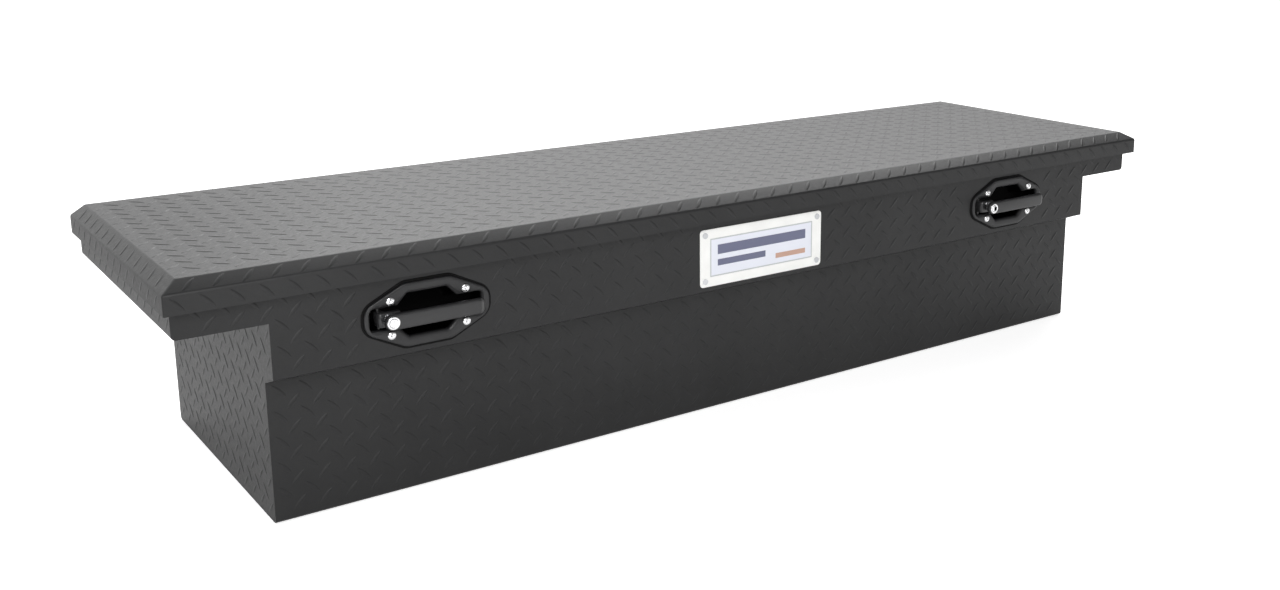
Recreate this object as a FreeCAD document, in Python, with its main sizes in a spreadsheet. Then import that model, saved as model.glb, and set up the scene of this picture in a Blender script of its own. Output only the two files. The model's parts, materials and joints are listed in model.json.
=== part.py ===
"""Crossover truck tool box: a stepped tub hung between the bed rails, a hinged lid, two locking latches.

Frame: +X to the right along the box, -Y out of the front, +Z up.
Origin: centre of the lid's length and width, on the underside of the tub floor.  Millimetres.
"""
import FreeCAD, Part
import Sketcher
import math
import os

DRIVING = {
    # lid
    "lid_length": 1778.0, "lid_front": 254.0, "box_top": 355.0, "chamfer_run": 21.0, "chamfer_drop": 13.0,
    "skirt_bottom": 316.0, "pan_under": 335.0, "sheet": 1.6, "pan_sheet": 1.2, "pan_lip": 5.0,
    # shell
    "wing_length": 1757.0, "tub_length": 1528.0, "band_front": 235.0, "back_face": 249.0, "back_gap": 2.0,
    "wing_under": 280.0, "band_bottom": 206.0, "step_run": 34.0, "step_drop": 13.0, "rim_top": 328.6,
    "rim_flange": 14.0, "rim_web": 30.0, "wing_bend": 6.0, "floor_bend": 5.0,
    "rail_hole_radius": 5.5, "rail_hole_x": 785.0, "rail_hole_y": 150.0,
    # seal
    "seal_width": 8.0, "seal_inset": 3.0, "seal_foot": 2.0, "bulb_inset": 1.5, "seal_gap": 0.1,
    # piano hinge
    "hinge_length": 1740.0, "hinge_sheet": 1.2, "barrel_radius": 2.5, "hinge_pin_radius": 1.2,
    "hinge_clearance": 0.05, "barrel_gap": 0.1, "knuckle_count": 24.0, "knuckle_gap": 0.5,
    "leaf_height": 28.0, "leaf_gap": 0.2, "hinge_rivet_rise": 16.8, "hinge_rivet_count": 16.0,
    "rivet_radius": 2.4, "rivet_head_radius": 4.5, "rivet_head": 1.4,
    # latch front, about a centre on the face of the band; both centres are shifted a little to the left
    "latch_x": 555.0, "latch_shift": 2.0, "latch_z": 259.5,
    "dish_half_width": 88.0, "dish_half_height": 43.2, "dish_top_flat": 32.5, "dish_side_flat": 16.5,
    "dish_flange": 3.5, "dish_wall": 2.0, "dish_depth": 28.0, "dish_slack": 0.4,
    "gasket": 1.0, "gasket_margin": 2.6, "pocket_half_width": 44.0, "pocket_half_height": 31.5,
    "pocket_flat": 29.0, "channel_left": 82.4, "channel_right": 79.6, "channel_half_height": 17.0,
    "screw_x": 52.8, "screw_z": 23.1, "screw_radius": 2.0, "screw_head_radius": 6.0, "screw_head": 3.2,
    "screw_slack": 0.2, "screw_tail": 1.0, "nut_half_flat": 3.5, "nut_depth": 3.0, "nut_slack": 0.02,
    # lever and its key cylinder
    "lever_half_height": 11.4, "lever_right": 68.0, "lever_front": 26.0, "lever_thick": 8.0,
    "lever_web": 4.0, "lever_lip": 6.0, "lever_lip_reach": 5.0, "lever_bend": 9.0, "lever_nose": 4.0,
    "pivot_x": 66.5, "pivot_y": 5.0, "knuckle_radius": 5.0, "lever_pin_radius": 2.5, "fit_clearance": 0.05,
    "lock_x": 58.0, "lock_radius": 8.8, "lock_front": 28.0, "lock_behind": 4.0,
    "plug_radius": 5.6, "plug_proud": 0.5, "keyway_half_width": 0.9, "keyway_half_height": 4.0,
    "keyway_depth": 12.0, "cam_half_width": 4.0, "cam_sheet": 2.0, "cam_reach": 9.0,
    # rotary latch behind the dish
    "striker_y": 55.0, "striker_z": 42.5, "striker_radius": 3.5, "striker_leg_x": 16.0,
    "striker_leg_radius": 4.0, "striker_leg_tail": 0.5, "striker_plate_half_x": 34.0,
    "striker_plate_half_y": 12.0, "striker_sheet": 2.0, "fork_reach": 13.0, "fork_radius": 21.0,
    "slot_half": 4.1, "fork_half": 3.0, "fork_pin_radius": 3.0, "pawl_y": 52.0, "pawl_z": 7.5,
    "pawl_pin_radius": 2.5, "pawl_wall": 3.5, "pawl_arm": 17.0, "pawl_arm_height": 6.0,
    "ear_inside": 5.5, "ear_sheet": 2.5, "ear_foot": 4.0, "ear_margin": 2.0,
    "notch_slack": 0.6, "housing_half_width": 22.0, "housing_below": 12.0, "housing_above": 32.0,
    "pin_head": 2.0, "pin_head_lip": 2.0, "spring_width": 4.0, "spring_inside": 0.4, "spring_outside": 2.2,
    # nameplate
    "plate_half_width": 118.5, "plate_half_height": 45.0, "plate_z": 258.3, "plate_sheet": 1.5,
    "plate_corner": 6.0, "plate_rivet_inset": 9.0,
    # gas struts
    "strut_x": 744.0, "strut_base_y": 221.5, "strut_base_z": 187.8, "strut_lid_y": 181.7,
    "strut_lid_z": 320.0, "strut_tube_radius": 8.0, "strut_bore": 6.6, "strut_rod_radius": 3.5,
    "tube_start": 5.0, "tube_length": 90.0, "tube_floor": 7.0, "tube_cap": 6.0,
    "piston_start": 16.0, "piston_length": 6.0, "piston_slack": 0.1,
    "stud_radius": 4.0, "stud_gap": 0.5, "socket_radius": 6.5, "socket_half": 6.0,
    "bracket_half": 16.0, "bracket_sheet": 2.0, "bracket_flat": 1.0, "bracket_web_half": 9.0,
    "bracket_web_below": 8.0, "bracket_foot": 14.0, "web_gap": 6.0,
}
OVERRUN = 1.0  # how far a cutting tool passes beyond what it cuts

doc = FreeCAD.newDocument("truck_tool_box")
sheet = doc.addObject("Spreadsheet::Sheet", "dims")
for row, (alias, number) in enumerate(DRIVING.items(), 1):
    sheet.set("A%d" % row, alias)
    sheet.set("B%d" % row, str(number))
    sheet.setAlias("B%d" % row, alias)
doc.recompute()


class Size:
    """A length worked out from the sheet: its number now, and the expression that keeps it bound."""

    def __init__(self, number, text):
        self.number = number
        self.text = text

    def __add__(self, other):
        other = size(other)
        return Size(self.number + other.number, "(%s + %s)" % (self.text, other.text))

    def __sub__(self, other):
        other = size(other)
        return Size(self.number - other.number, "(%s - %s)" % (self.text, other.text))

    def __mul__(self, factor):
        factor = size(factor)
        return Size(self.number * factor.number, "(%s * %s)" % (self.text, factor.text))

    def __truediv__(self, other):
        other = size(other)
        return Size(self.number / other.number, "(%s / %s)" % (self.text, other.text))

    def __neg__(self):
        return Size(-self.number, "(0 - %s)" % self.text)

    __radd__ = __add__
    __rmul__ = __mul__


def size(value):
    """A Size as it is, a plain number as a constant Size."""
    if isinstance(value, Size):
        return value
    return Size(float(value), "%.6g" % value)


def cell(alias):
    """The sheet's cell with this alias, as a Size."""
    return Size(float(sheet.get(alias)), "dims.%s" % alias)


def bind(thing, prop, value):
    """Ties one property of an object to a Size."""
    thing.setExpression(prop, size(value).text)


def place(thing, x, y, z):
    """Ties an object's position to three Sizes."""
    for axis, value in zip("xyz", (x, y, z)):
        bind(thing, "Placement.Base.%s" % axis, value)


# ---------------------------------------------------------------- primitive and boolean helpers
def box(name, x_span, y_span, z_span):
    """A block between two positions on each axis, given in either order."""
    spans = [sorted((size(a), size(b)), key=lambda s: s.number) for a, b in (x_span, y_span, z_span)]
    block = doc.addObject("Part::Box", name)
    for prop, (low, high) in zip(("Length", "Width", "Height"), spans):
        bind(block, prop, high - low)
    place(block, *[low for low, _ in spans])
    return block


TURN = {
    "x": FreeCAD.Rotation(FreeCAD.Vector(0, 1, 0), 90),
    "y": FreeCAD.Rotation(FreeCAD.Vector(1, 0, 0), -90),
    "z": FreeCAD.Rotation(),
}


def cylinder(name, axis, start, radius, length):
    """A round bar from start along +axis."""
    bar = doc.addObject("Part::Cylinder", name)
    bind(bar, "Radius", radius)
    bind(bar, "Height", length)
    bar.Placement = FreeCAD.Placement(FreeCAD.Vector(), TURN[axis])
    place(bar, *start)
    return bar


def bore(name, axis, start, radius, length):
    """A round cutting tool along +axis for a hole that begins at start; it overruns both ends."""
    shifted = [value - OVERRUN if letter == axis else value for letter, value in zip("xyz", start)]
    return cylinder(name, axis, shifted, radius, size(length) + 2 * OVERRUN)


def cut(name, base, *tools):
    """Base with the tools taken away."""
    tool = tools[0] if len(tools) == 1 else fuse(name + "_tools", *tools)
    result = doc.addObject("Part::Cut", name)
    result.Base = base
    result.Tool = tool
    return result


def fuse(name, *shapes):
    """The shapes as one."""
    result = doc.addObject("Part::MultiFuse", name)
    result.Shapes = list(shapes)
    return result


def group(name, shapes):
    """Separate identical solids kept in one node."""
    result = doc.addObject("Part::Compound", name)
    result.Links = list(shapes)
    return result


# ---------------------------------------------------------------- sketched helpers
ROLE = {"x": "YZ_Plane", "y": "XZ_Plane", "z": "XY_Plane"}


def origin_feature(body, role):
    """One of a body's own origin planes or axes."""
    return [part for part in body.Origin.OriginFeatures if part.Role == role][0]


def add_sketch(body, axis, name):
    """A sketch on the body's own origin plane that is square to the axis."""
    sketch = body.newObject("Sketcher::SketchObject", name)
    sketch.AttachmentSupport = [(origin_feature(body, ROLE[axis]), "")]
    sketch.MapMode = "FlatFace"
    return sketch


def pin_point(sketch, line, end, point):
    """Holds one end of a line at a point whose two coordinates follow the sheet."""
    for kind, value in zip(("DistanceX", "DistanceY"), point):
        index = sketch.addConstraint(Sketcher.Constraint(kind, -1, 1, line, end, size(value).number))
        sketch.setExpression("Constraints[%d]" % index, size(value).text)


def draw_polygon(sketch, points):
    """A closed outline through the points."""
    vectors = [FreeCAD.Vector(size(a).number, size(b).number, 0) for a, b in points]
    first = sketch.GeometryCount
    for index, start in enumerate(vectors):
        sketch.addGeometry(Part.LineSegment(start, vectors[(index + 1) % len(vectors)]), False)
    for index in range(len(points)):
        following = first + (index + 1) % len(points)
        sketch.addConstraint(Sketcher.Constraint("Coincident", first + index, 2, following, 1))
    for index, point in enumerate(points):
        pin_point(sketch, first + index, 1, point)


def draw_circle(sketch, centre, radius):
    """A circle whose centre and radius follow the sheet."""
    middle = FreeCAD.Vector(size(centre[0]).number, size(centre[1]).number, 0)
    normal = FreeCAD.Vector(0, 0, 1)
    index = sketch.addGeometry(Part.Circle(middle, normal, size(radius).number), False)
    pin_point(sketch, index, 3, centre)
    held = sketch.addConstraint(Sketcher.Constraint("Radius", index, size(radius).number))
    sketch.setExpression("Constraints[%d]" % held, size(radius).text)


def pad(body, sketch, length):
    """The sketch pulled out along its plane's normal."""
    feature = body.newObject("PartDesign::Pad", "pad")
    feature.Profile = sketch
    bind(feature, "Length", length)
    sketch.Visibility = False
    doc.recompute()
    return feature


def prism(name, axis, outline, low, high):
    """A body padded from one outline between two positions on the axis.

    The outline is (Y, Z) pairs for axis x, (X, Z) pairs for axis y and (X, Y) pairs for axis z.
    """
    body = doc.addObject("PartDesign::Body", name)
    sketch = add_sketch(body, axis, name + "_outline")
    draw_polygon(sketch, outline)
    pad(body, sketch, size(high) - low)
    shift = {"x": (low, 0, 0), "y": (0, high, 0), "z": (0, 0, low)}[axis]
    place(body, *shift)
    return body


def edges_through(shape, axis, spots):
    """Names of the straight edges along an axis that pass through any of the spots."""
    names = []
    across = [index for index, letter in enumerate("xyz") if letter != axis]
    for number, edge in enumerate(shape.Edges, 1):
        if len(edge.Vertexes) < 2:
            continue
        ends = [tuple(vertex.Point) for vertex in edge.Vertexes]
        if any(abs(ends[0][index] - ends[1][index]) > 0.01 for index in across):
            continue
        here = [ends[0][index] for index in across]
        for spot in spots:
            if all(abs(a - size(b).number) < 0.01 for a, b in zip(here, spot)):
                names.append("Edge%d" % number)
    return names


def round_over(body, axis, spots, radius):
    """Fillets the body's edges that run along the axis through the spots."""
    base = body.Tip
    names = edges_through(base.Shape, axis, spots)
    feature = body.newObject("PartDesign::Fillet", "fillet")
    feature.Base = (base, names)
    bind(feature, "Radius", radius)
    doc.recompute()
    return feature


nodes = []


def node(thing, label):
    """Marks an object as one of the finished pieces."""
    thing.Label = label
    nodes.append(thing)
    return thing


# ---------------------------------------------------------------- sizes used in several places
skin = cell("sheet")
half_wing = cell("wing_length") / 2
half_tub = cell("tub_length") / 2
half_lid = cell("lid_length") / 2
front = -cell("band_front")
back = cell("back_face")
front_inside = front + skin
back_inside = back - skin
tub_front = front + cell("step_run")
step_top = cell("band_bottom")
step_foot = step_top - cell("step_drop")
wing_under = cell("wing_under")
rim_top = cell("rim_top")
wall_top = rim_top - skin
hinge_z = cell("skirt_bottom")
hinge_y = back + cell("barrel_radius") + cell("barrel_gap")
# how far the inside of the slanted step lies above its outside, measured straight up
slant = math.hypot(cell("step_run").number, cell("step_drop").number)
step_lift = skin * (slant / cell("step_run").number)
step_lean = skin * (cell("step_drop") / cell("step_run"))
inner_step_top = step_top - step_lean + step_lift
inner_step_foot = step_foot - step_lean + step_lift
latch_z = cell("latch_z")
latch_centres = {
    "left": -cell("latch_x") - cell("latch_shift"),
    "right": cell("latch_x") - cell("latch_shift"),
}
striker_y = front + cell("striker_y")
fork_y = striker_y + cell("fork_reach")
fork_z = latch_z + cell("striker_z")
pawl_y = front + cell("pawl_y")
pawl_z = latch_z + cell("pawl_z")
ear_out = cell("ear_inside") + cell("ear_sheet")
dish_room = cell("dish_wall") + cell("dish_slack")
SIDES = {"left": -1, "right": 1}


# ---------------------------------------------------------------- shell
def tub_profile(top_front, top_back):
    """Section of the folded tub sheet: front band, slanted step, lower front, floor and back."""
    return [
        (front, top_front), (front, step_top), (tub_front, step_foot), (tub_front, 0),
        (back, 0), (back, top_back), (back_inside, top_back), (back_inside, skin),
        (tub_front + skin, skin), (tub_front + skin, inner_step_foot),
        (front_inside, inner_step_top), (front_inside, top_front),
    ]


def build_tub_wrap():
    """One sheet folded into front, floor and back, with the front and back carried out over the wings."""
    back_top = hinge_z - cell("back_gap")
    fold = prism("tub_fold", "x", tub_profile(wall_top, back_top), -half_tub, half_tub)
    round_over(fold, "x", [(tub_front, 0), (back, 0)], cell("floor_bend"))
    round_over(fold, "x", [(tub_front + skin, skin), (back_inside, skin)], cell("floor_bend") - skin)

    def wing_strip(name, low, high, top):
        corners = [(-half_wing, wing_under), (half_wing, wing_under), (half_wing, top), (-half_wing, top)]
        strip = prism(name, "y", corners, low, high)
        ends = [(-half_wing, wing_under), (half_wing, wing_under)]
        round_over(strip, "y", ends, cell("wing_bend"))
        return strip

    front_strip = wing_strip("front_wing_strip", front, front_inside, wall_top)
    back_strip = wing_strip("back_wing_strip", back_inside, back, back_top)
    openings = []
    for side, centre in latch_centres.items():
        openings.append(pocket_block(side + "_wall_opening", centre, dish_room, 0, skin + OVERRUN))
        openings += screw_holes(side + "_wall_screw_hole", centre, 0, skin)
    whole = fuse("tub_sheet", fold, front_strip, back_strip)
    return node(cut("tub_wrap_solid", whole, *openings), "tub_wrap")


def build_end_saddle(side):
    """End wall, wing floor and wing end, one sheet bent twice."""
    sign = SIDES[side]
    outer = half_tub * sign
    inner = (half_tub - skin) * sign
    tip = half_wing * sign
    wall_outline = [
        (front_inside, wing_under + skin), (front_inside, inner_step_top),
        (tub_front + skin, inner_step_foot), (tub_front + skin, skin),
        (back_inside, skin), (back_inside, wing_under + skin),
    ]
    low, high = sorted((inner, outer), key=lambda s: s.number)
    wall = prism(side + "_end_wall", "x", wall_outline, low, high)
    bend = cell("floor_bend") - skin
    round_over(wall, "x", [(tub_front + skin, skin), (back_inside, skin)], bend)
    ledge_outline = [
        (outer, wing_under), (tip, wing_under), (tip, wall_top), (tip - skin * sign, wall_top),
        (tip - skin * sign, wing_under + skin), (outer, wing_under + skin),
    ]
    ledge = prism(side + "_ledge", "y", ledge_outline, front_inside, back_inside)
    round_over(ledge, "y", [(tip, wing_under)], cell("wing_bend"))
    round_over(ledge, "y", [(tip - skin * sign, wing_under + skin)], cell("wing_bend") - skin)
    holes = []
    for row in (-1, 1):
        start = (cell("rail_hole_x") * sign, cell("rail_hole_y") * row, wing_under)
        holes.append(bore("%s_rail_hole_%d" % (side, row), "z", start, cell("rail_hole_radius"), skin))
    whole = fuse(side + "_saddle_sheet", wall, ledge)
    return node(cut(side + "_saddle_solid", whole, *holes), side + "_end_saddle")


def ring(name, outset, width, z_span):
    """A rectangular ring round the mouth of the box, its outer edge outset inside the walls."""
    def block(part, gap):
        x_far = half_wing - skin - gap
        return box(name + part, (-x_far, x_far), (front_inside + gap, back_inside - gap), z_span)
    return cut(name, block("_outer", outset), block("_inner", size(outset) + width))


def build_rim_and_seal():
    """Folded stiffening channel round the mouth, and the rubber seal that sits on it."""
    web = ring("rim_web_ring", 0, skin, (rim_top - cell("rim_web"), rim_top - skin))
    flange = ring("rim_flange_ring", 0, cell("rim_flange"), (rim_top - skin, rim_top))
    node(fuse("rim_solid", web, flange), "rim_frame")
    seal_top = cell("pan_under") - cell("seal_gap")
    foot_top = rim_top + cell("seal_foot")
    foot = ring("seal_foot_ring", cell("seal_inset"), cell("seal_width"), (rim_top, foot_top))
    bulb_width = cell("seal_width") - 2 * cell("bulb_inset")
    bulb = ring("seal_bulb_ring", cell("seal_inset") + cell("bulb_inset"), bulb_width, (foot_top, seal_top))
    node(fuse("seal_solid", foot, bulb), "weather_seal")


# ---------------------------------------------------------------- lid
def frustum(name, half_length, low_front, low_back, z_low, z_high, top_half_length, top_front):
    """A block whose front and end faces lean in, its back face upright."""
    wedge = doc.addObject("Part::Wedge", name)
    bind(wedge, "Xmin", -half_length)
    bind(wedge, "Xmax", half_length)
    bind(wedge, "X2min", -top_half_length)
    bind(wedge, "X2max", top_half_length)
    bind(wedge, "Ymin", 0)
    bind(wedge, "Ymax", z_high - z_low)
    bind(wedge, "Zmin", -low_back)
    bind(wedge, "Zmax", -low_front)
    bind(wedge, "Z2min", -low_back)
    bind(wedge, "Z2max", -top_front)
    upright = FreeCAD.Rotation(FreeCAD.Vector(1, 0, 0), 90)
    wedge.Placement = FreeCAD.Placement(FreeCAD.Vector(), upright)
    place(wedge, 0, 0, z_low)
    return wedge


def build_lid():
    """Lid skin with a chamfer on its front and ends, a foam core, and an inner pan."""
    lid_front = -cell("lid_front")
    top = cell("box_top")
    run = cell("chamfer_run")
    drop = cell("chamfer_drop")
    shoulder = top - drop
    slope = math.hypot(run.number, drop.number)
    outer = fuse(
        "lid_outer",
        box("lid_outer_skirt", (-half_lid, half_lid), (lid_front, back), (hinge_z, shoulder)),
        frustum("lid_outer_top", half_lid, lid_front, back, shoulder, top, half_lid - run, lid_front + run),
    )
    # the inside faces run one sheet thickness in from the outside, measured square to each face
    in_shoulder = shoulder + skin * drop / run - skin * (slope / run.number)
    in_run = run - skin * run / drop + skin * (slope / drop.number)
    in_half = half_lid - skin
    in_front = lid_front + skin
    in_top = top - skin
    mouth = hinge_z - OVERRUN
    inner = fuse(
        "lid_inner",
        box("lid_inner_skirt", (-in_half, in_half), (in_front, back_inside), (mouth, in_shoulder)),
        frustum(
            "lid_inner_top", in_half, in_front, back_inside, in_shoulder, in_top,
            half_lid - in_run, lid_front + in_run,
        ),
    )
    node(cut("lid_skin_solid", outer, inner), "lid_skin")

    pan = cell("pan_under")
    pan_sheet = cell("pan_sheet")
    pan_top = pan + pan_sheet
    lip_top = pan + cell("pan_lip")
    plate = box("pan_plate", (-in_half, in_half), (in_front, back_inside), (pan, pan_top))
    lip_outer = box("pan_lip_outer", (-in_half, in_half), (in_front, back_inside), (pan_top, lip_top))
    lip_x = in_half - pan_sheet
    lip_y = (in_front + pan_sheet, back_inside - pan_sheet)
    lip_inner = box("pan_lip_inner", (-lip_x, lip_x), lip_y, (pan, lip_top + OVERRUN))
    node(fuse("pan_solid", plate, cut("pan_lip", lip_outer, lip_inner)), "lid_inner_pan")
    core_x = half_lid - in_run
    core_front = lid_front + in_run
    core = box("core_block", (-core_x, core_x), (core_front, back_inside - pan_sheet), (pan_top, in_top))
    node(core, "lid_foam_core")


# ---------------------------------------------------------------- piano hinge
def build_hinge_leaf(label, direction, first_knuckle):
    """A leaf with every other knuckle: direction -1 hangs down on the back wall, +1 rises on the lid."""
    length = cell("hinge_length")
    pitch = length / cell("knuckle_count")
    near = hinge_z + (cell("barrel_radius") + cell("leaf_gap")) * direction
    far = hinge_z + cell("leaf_height") * direction
    leaf_out = back + cell("hinge_sheet")
    body = doc.addObject("PartDesign::Body", label + "_body")
    leaf = add_sketch(body, "x", label + "_leaf_outline")
    draw_polygon(leaf, [(back, near), (leaf_out, near), (leaf_out, far), (back, far)])
    pad(body, leaf, length)
    # the knuckle is drawn at the body's origin end, moved along by its own attachment offset
    start = pitch * first_knuckle + cell("knuckle_gap") / 2
    parts = []
    tab = add_sketch(body, "x", label + "_tab_outline")
    draw_polygon(tab, [(back, near), (leaf_out, near), (leaf_out, hinge_z), (back, hinge_z)])
    barrel = add_sketch(body, "x", label + "_barrel_outline")
    draw_circle(barrel, (hinge_y, hinge_z), cell("barrel_radius"))
    draw_circle(barrel, (hinge_y, hinge_z), cell("hinge_pin_radius") + cell("hinge_clearance"))
    for sketch in (tab, barrel):
        bind(sketch, "AttachmentOffset.Base.z", start)
        parts.append(pad(body, sketch, pitch - cell("knuckle_gap")))
    repeats = int(cell("knuckle_count").number) // 2
    pattern = body.newObject("PartDesign::LinearPattern", label + "_knuckles")
    pattern.Originals = parts
    pattern.Direction = (origin_feature(body, "X_Axis"), [""])
    bind(pattern, "Length", pitch * (2 * (repeats - 1)))
    pattern.Occurrences = repeats
    body.Tip = pattern
    place(body, -length / 2, 0, 0)
    doc.recompute()
    return node(body, label)


def rivet(name, spot, outward, grip):
    """A blind rivet through grip, its head proud of the spot: outward is -1 at the front, +1 at the back."""
    x, y, z = spot
    head = cell("rivet_head")
    if outward > 0:
        head_start, shank_start = y, y - grip
    else:
        head_start, shank_start = y - head, y
    return fuse(
        name,
        cylinder(name + "_head", "y", (x, head_start, z), cell("rivet_head_radius"), head),
        cylinder(name + "_shank", "y", (x, shank_start, z), cell("rivet_radius"), grip),
    )


def rivet_row(label, z):
    """Rivets along one hinge leaf."""
    count = int(cell("hinge_rivet_count").number)
    pitch = cell("hinge_length") / cell("hinge_rivet_count")
    leaf_out = back + cell("hinge_sheet")
    rivets = []
    for index in range(count):
        x = pitch * (index + 0.5) - cell("hinge_length") / 2
        rivets.append(rivet("%s_%d" % (label, index), (x, leaf_out, z), 1, cell("hinge_sheet") + skin))
    node(group(label + "_group", rivets), label)


def build_hinge():
    """Two leaves, one pin and the rivets that hold the leaves."""
    build_hinge_leaf("hinge_body_leaf", -1, 0)
    build_hinge_leaf("hinge_lid_leaf", 1, 1)
    start = (-cell("hinge_length") / 2, hinge_y, hinge_z)
    node(cylinder("hinge_pin_bar", "x", start, cell("hinge_pin_radius"), cell("hinge_length")), "hinge_pin")
    rivet_row("hinge_body_rivets", hinge_z - cell("hinge_rivet_rise"))
    rivet_row("hinge_lid_rivets", hinge_z + cell("hinge_rivet_rise"))


# ---------------------------------------------------------------- latch front
def octagon(centre, grow):
    """Outline of the latch dish's flange: flats at the top, bottom and ends, long slanted corners."""
    half_x = cell("dish_half_width") + grow
    half_z = cell("dish_half_height") + grow
    flat_x = cell("dish_top_flat")
    flat_z = cell("dish_side_flat")
    quarter = [(half_x, flat_z), (flat_x, half_z)]
    corners = quarter + [(-x, z) for x, z in reversed(quarter)]
    corners += [(-x, -z) for x, z in quarter] + [(x, -z) for x, z in reversed(quarter)]
    return [(centre + x, latch_z + z) for x, z in corners]


def pocket_block(name, centre, grow, y_low, y_high):
    """The hollow of the dish: a deep middle and a channel along the lever, grown evenly by grow."""
    half_x = cell("pocket_half_width") + grow
    half_z = cell("pocket_half_height") + grow
    flat = cell("pocket_flat") + grow
    slim = cell("channel_half_height") + grow
    left = -cell("channel_left") - grow
    right = cell("channel_right") + grow
    outline = [
        (left, -slim), (-half_x, -slim), (-flat, -half_z), (flat, -half_z), (half_x, -slim), (right, -slim),
        (right, slim), (half_x, slim), (flat, half_z), (-flat, half_z), (-half_x, slim), (left, slim),
    ]
    points = [(centre + x, latch_z + z) for x, z in outline]
    return prism(name, "y", points, front + y_low, front + y_high)


def screw_spots(centre):
    """The four screw places round a latch."""
    return [
        (centre + cell("screw_x") * i, latch_z + cell("screw_z") * j)
        for i in (-1, 1)
        for j in (-1, 1)
    ]


def screw_holes(name, centre, y_low, y_high):
    """Clearance holes for the four screws, between two depths from the band's face."""
    radius = cell("screw_radius") + cell("screw_slack")
    return [
        bore("%s_%d" % (name, index), "y", (x, front + y_low, z), radius, size(y_high) - y_low)
        for index, (x, z) in enumerate(screw_spots(centre))
    ]


def build_dish(side, centre):
    """Gasket and pressed dish of one latch."""
    seat = -cell("gasket")
    face = seat - cell("dish_flange")
    depth = cell("dish_depth")
    wall = cell("dish_wall")
    rubber = prism(side + "_gasket_sheet", "y", octagon(centre, cell("gasket_margin")), front + seat, front)
    opening = pocket_block(side + "_gasket_opening", centre, dish_room, seat - OVERRUN, OVERRUN)
    holes = screw_holes(side + "_gasket_hole", centre, seat, 0)
    node(cut(side + "_gasket_solid", rubber, opening, *holes), side + "_latch_gasket")
    flange = prism(side + "_flange", "y", octagon(centre, 0), front + face, front + seat)
    shell = pocket_block(side + "_shell", centre, wall, seat, depth + wall)
    hollow = pocket_block(side + "_hollow", centre, 0, face - OVERRUN, depth)
    holes = screw_holes(side + "_dish_hole", centre, face, seat)
    whole = fuse(side + "_dish_whole", flange, shell)
    node(cut(side + "_dish_solid", whole, hollow, *holes), side + "_latch_dish")


def hexagon(centre_x, centre_z, half_flat):
    """A hexagon of the given half width across flats, flats facing up and down."""
    point = half_flat / math.cos(math.radians(30))
    turns = [math.radians(60 * index) for index in range(6)]
    return [(centre_x + point * math.cos(turn), centre_z + point * math.sin(turn)) for turn in turns]


def build_latch_fasteners():
    """The screws and nuts of both latches."""
    face = front - cell("gasket") - cell("dish_flange")
    head_height = cell("screw_head")
    radius = cell("screw_radius")
    nut_depth = cell("nut_depth")
    tip = front_inside + nut_depth + cell("screw_tail")
    screws = []
    nuts = []
    for side, centre in latch_centres.items():
        for index, (x, z) in enumerate(screw_spots(centre)):
            tag = "%s_screw_%d" % (side, index)
            head_start = (x, face - head_height, z)
            head = cylinder(tag + "_head", "y", head_start, cell("screw_head_radius"), head_height)
            shank = cylinder(tag + "_shank", "y", (x, face, z), radius, tip - face)
            screws.append(fuse(tag, head, shank))
            outline = hexagon(x, z, cell("nut_half_flat"))
            nut = prism(tag + "_nut", "y", outline, front_inside, front_inside + nut_depth)
            hole = bore(tag + "_nut_bore", "y", (x, front_inside, z), radius + cell("nut_slack"), nut_depth)
            nuts.append(cut(tag + "_nut_ring", nut, hole))
    node(group("latch_screw_group", screws), "latch_screws")
    node(group("latch_nut_group", nuts), "latch_nuts")


def build_lever(side, centre):
    """Pull lever with its pin: a bar bent back to the knuckle at its left end, a finger lip at its right."""
    half = cell("lever_half_height")
    pivot_x = centre - cell("pivot_x")
    pivot_y = front + cell("pivot_y")
    face = front - cell("lever_front")
    rear = face + cell("lever_thick")
    web_left = pivot_x - cell("knuckle_radius")
    web_right = web_left + cell("lever_web")
    lip_right = centre + cell("lever_right")
    lip_left = lip_right - cell("lever_lip")
    lip_rear = rear + cell("lever_lip_reach")
    outline = [
        (web_left, pivot_y), (web_left, face), (lip_right, face), (lip_right, lip_rear),
        (lip_left, lip_rear), (lip_left, rear), (web_right, rear), (web_right, pivot_y),
    ]
    bar = prism(side + "_lever_bar", "z", outline, latch_z - half, latch_z + half)
    round_over(bar, "z", [(web_left, face)], cell("lever_bend"))
    round_over(bar, "z", [(lip_right, face)], cell("lever_nose"))
    foot = (pivot_x, pivot_y, latch_z - half)
    barrel = cylinder(side + "_lever_barrel", "z", foot, cell("knuckle_radius"), half * 2)
    pin_radius = cell("lever_pin_radius")
    pin_bore = bore(side + "_pin_bore", "z", foot, pin_radius + cell("fit_clearance"), half * 2)
    lock_seat = (centre - cell("lock_x"), face, latch_z)
    lock_bore = bore(side + "_lock_bore", "y", lock_seat, cell("lock_radius"), cell("lever_thick"))
    whole = fuse(side + "_lever_whole", bar, barrel)
    node(cut(side + "_lever_solid", whole, pin_bore, lock_bore), side + "_lever")
    slim = cell("channel_half_height")
    pin = cylinder(side + "_lever_pin_bar", "z", (pivot_x, pivot_y, latch_z - slim), pin_radius, slim * 2)
    node(pin, side + "_lever_pin")


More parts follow.
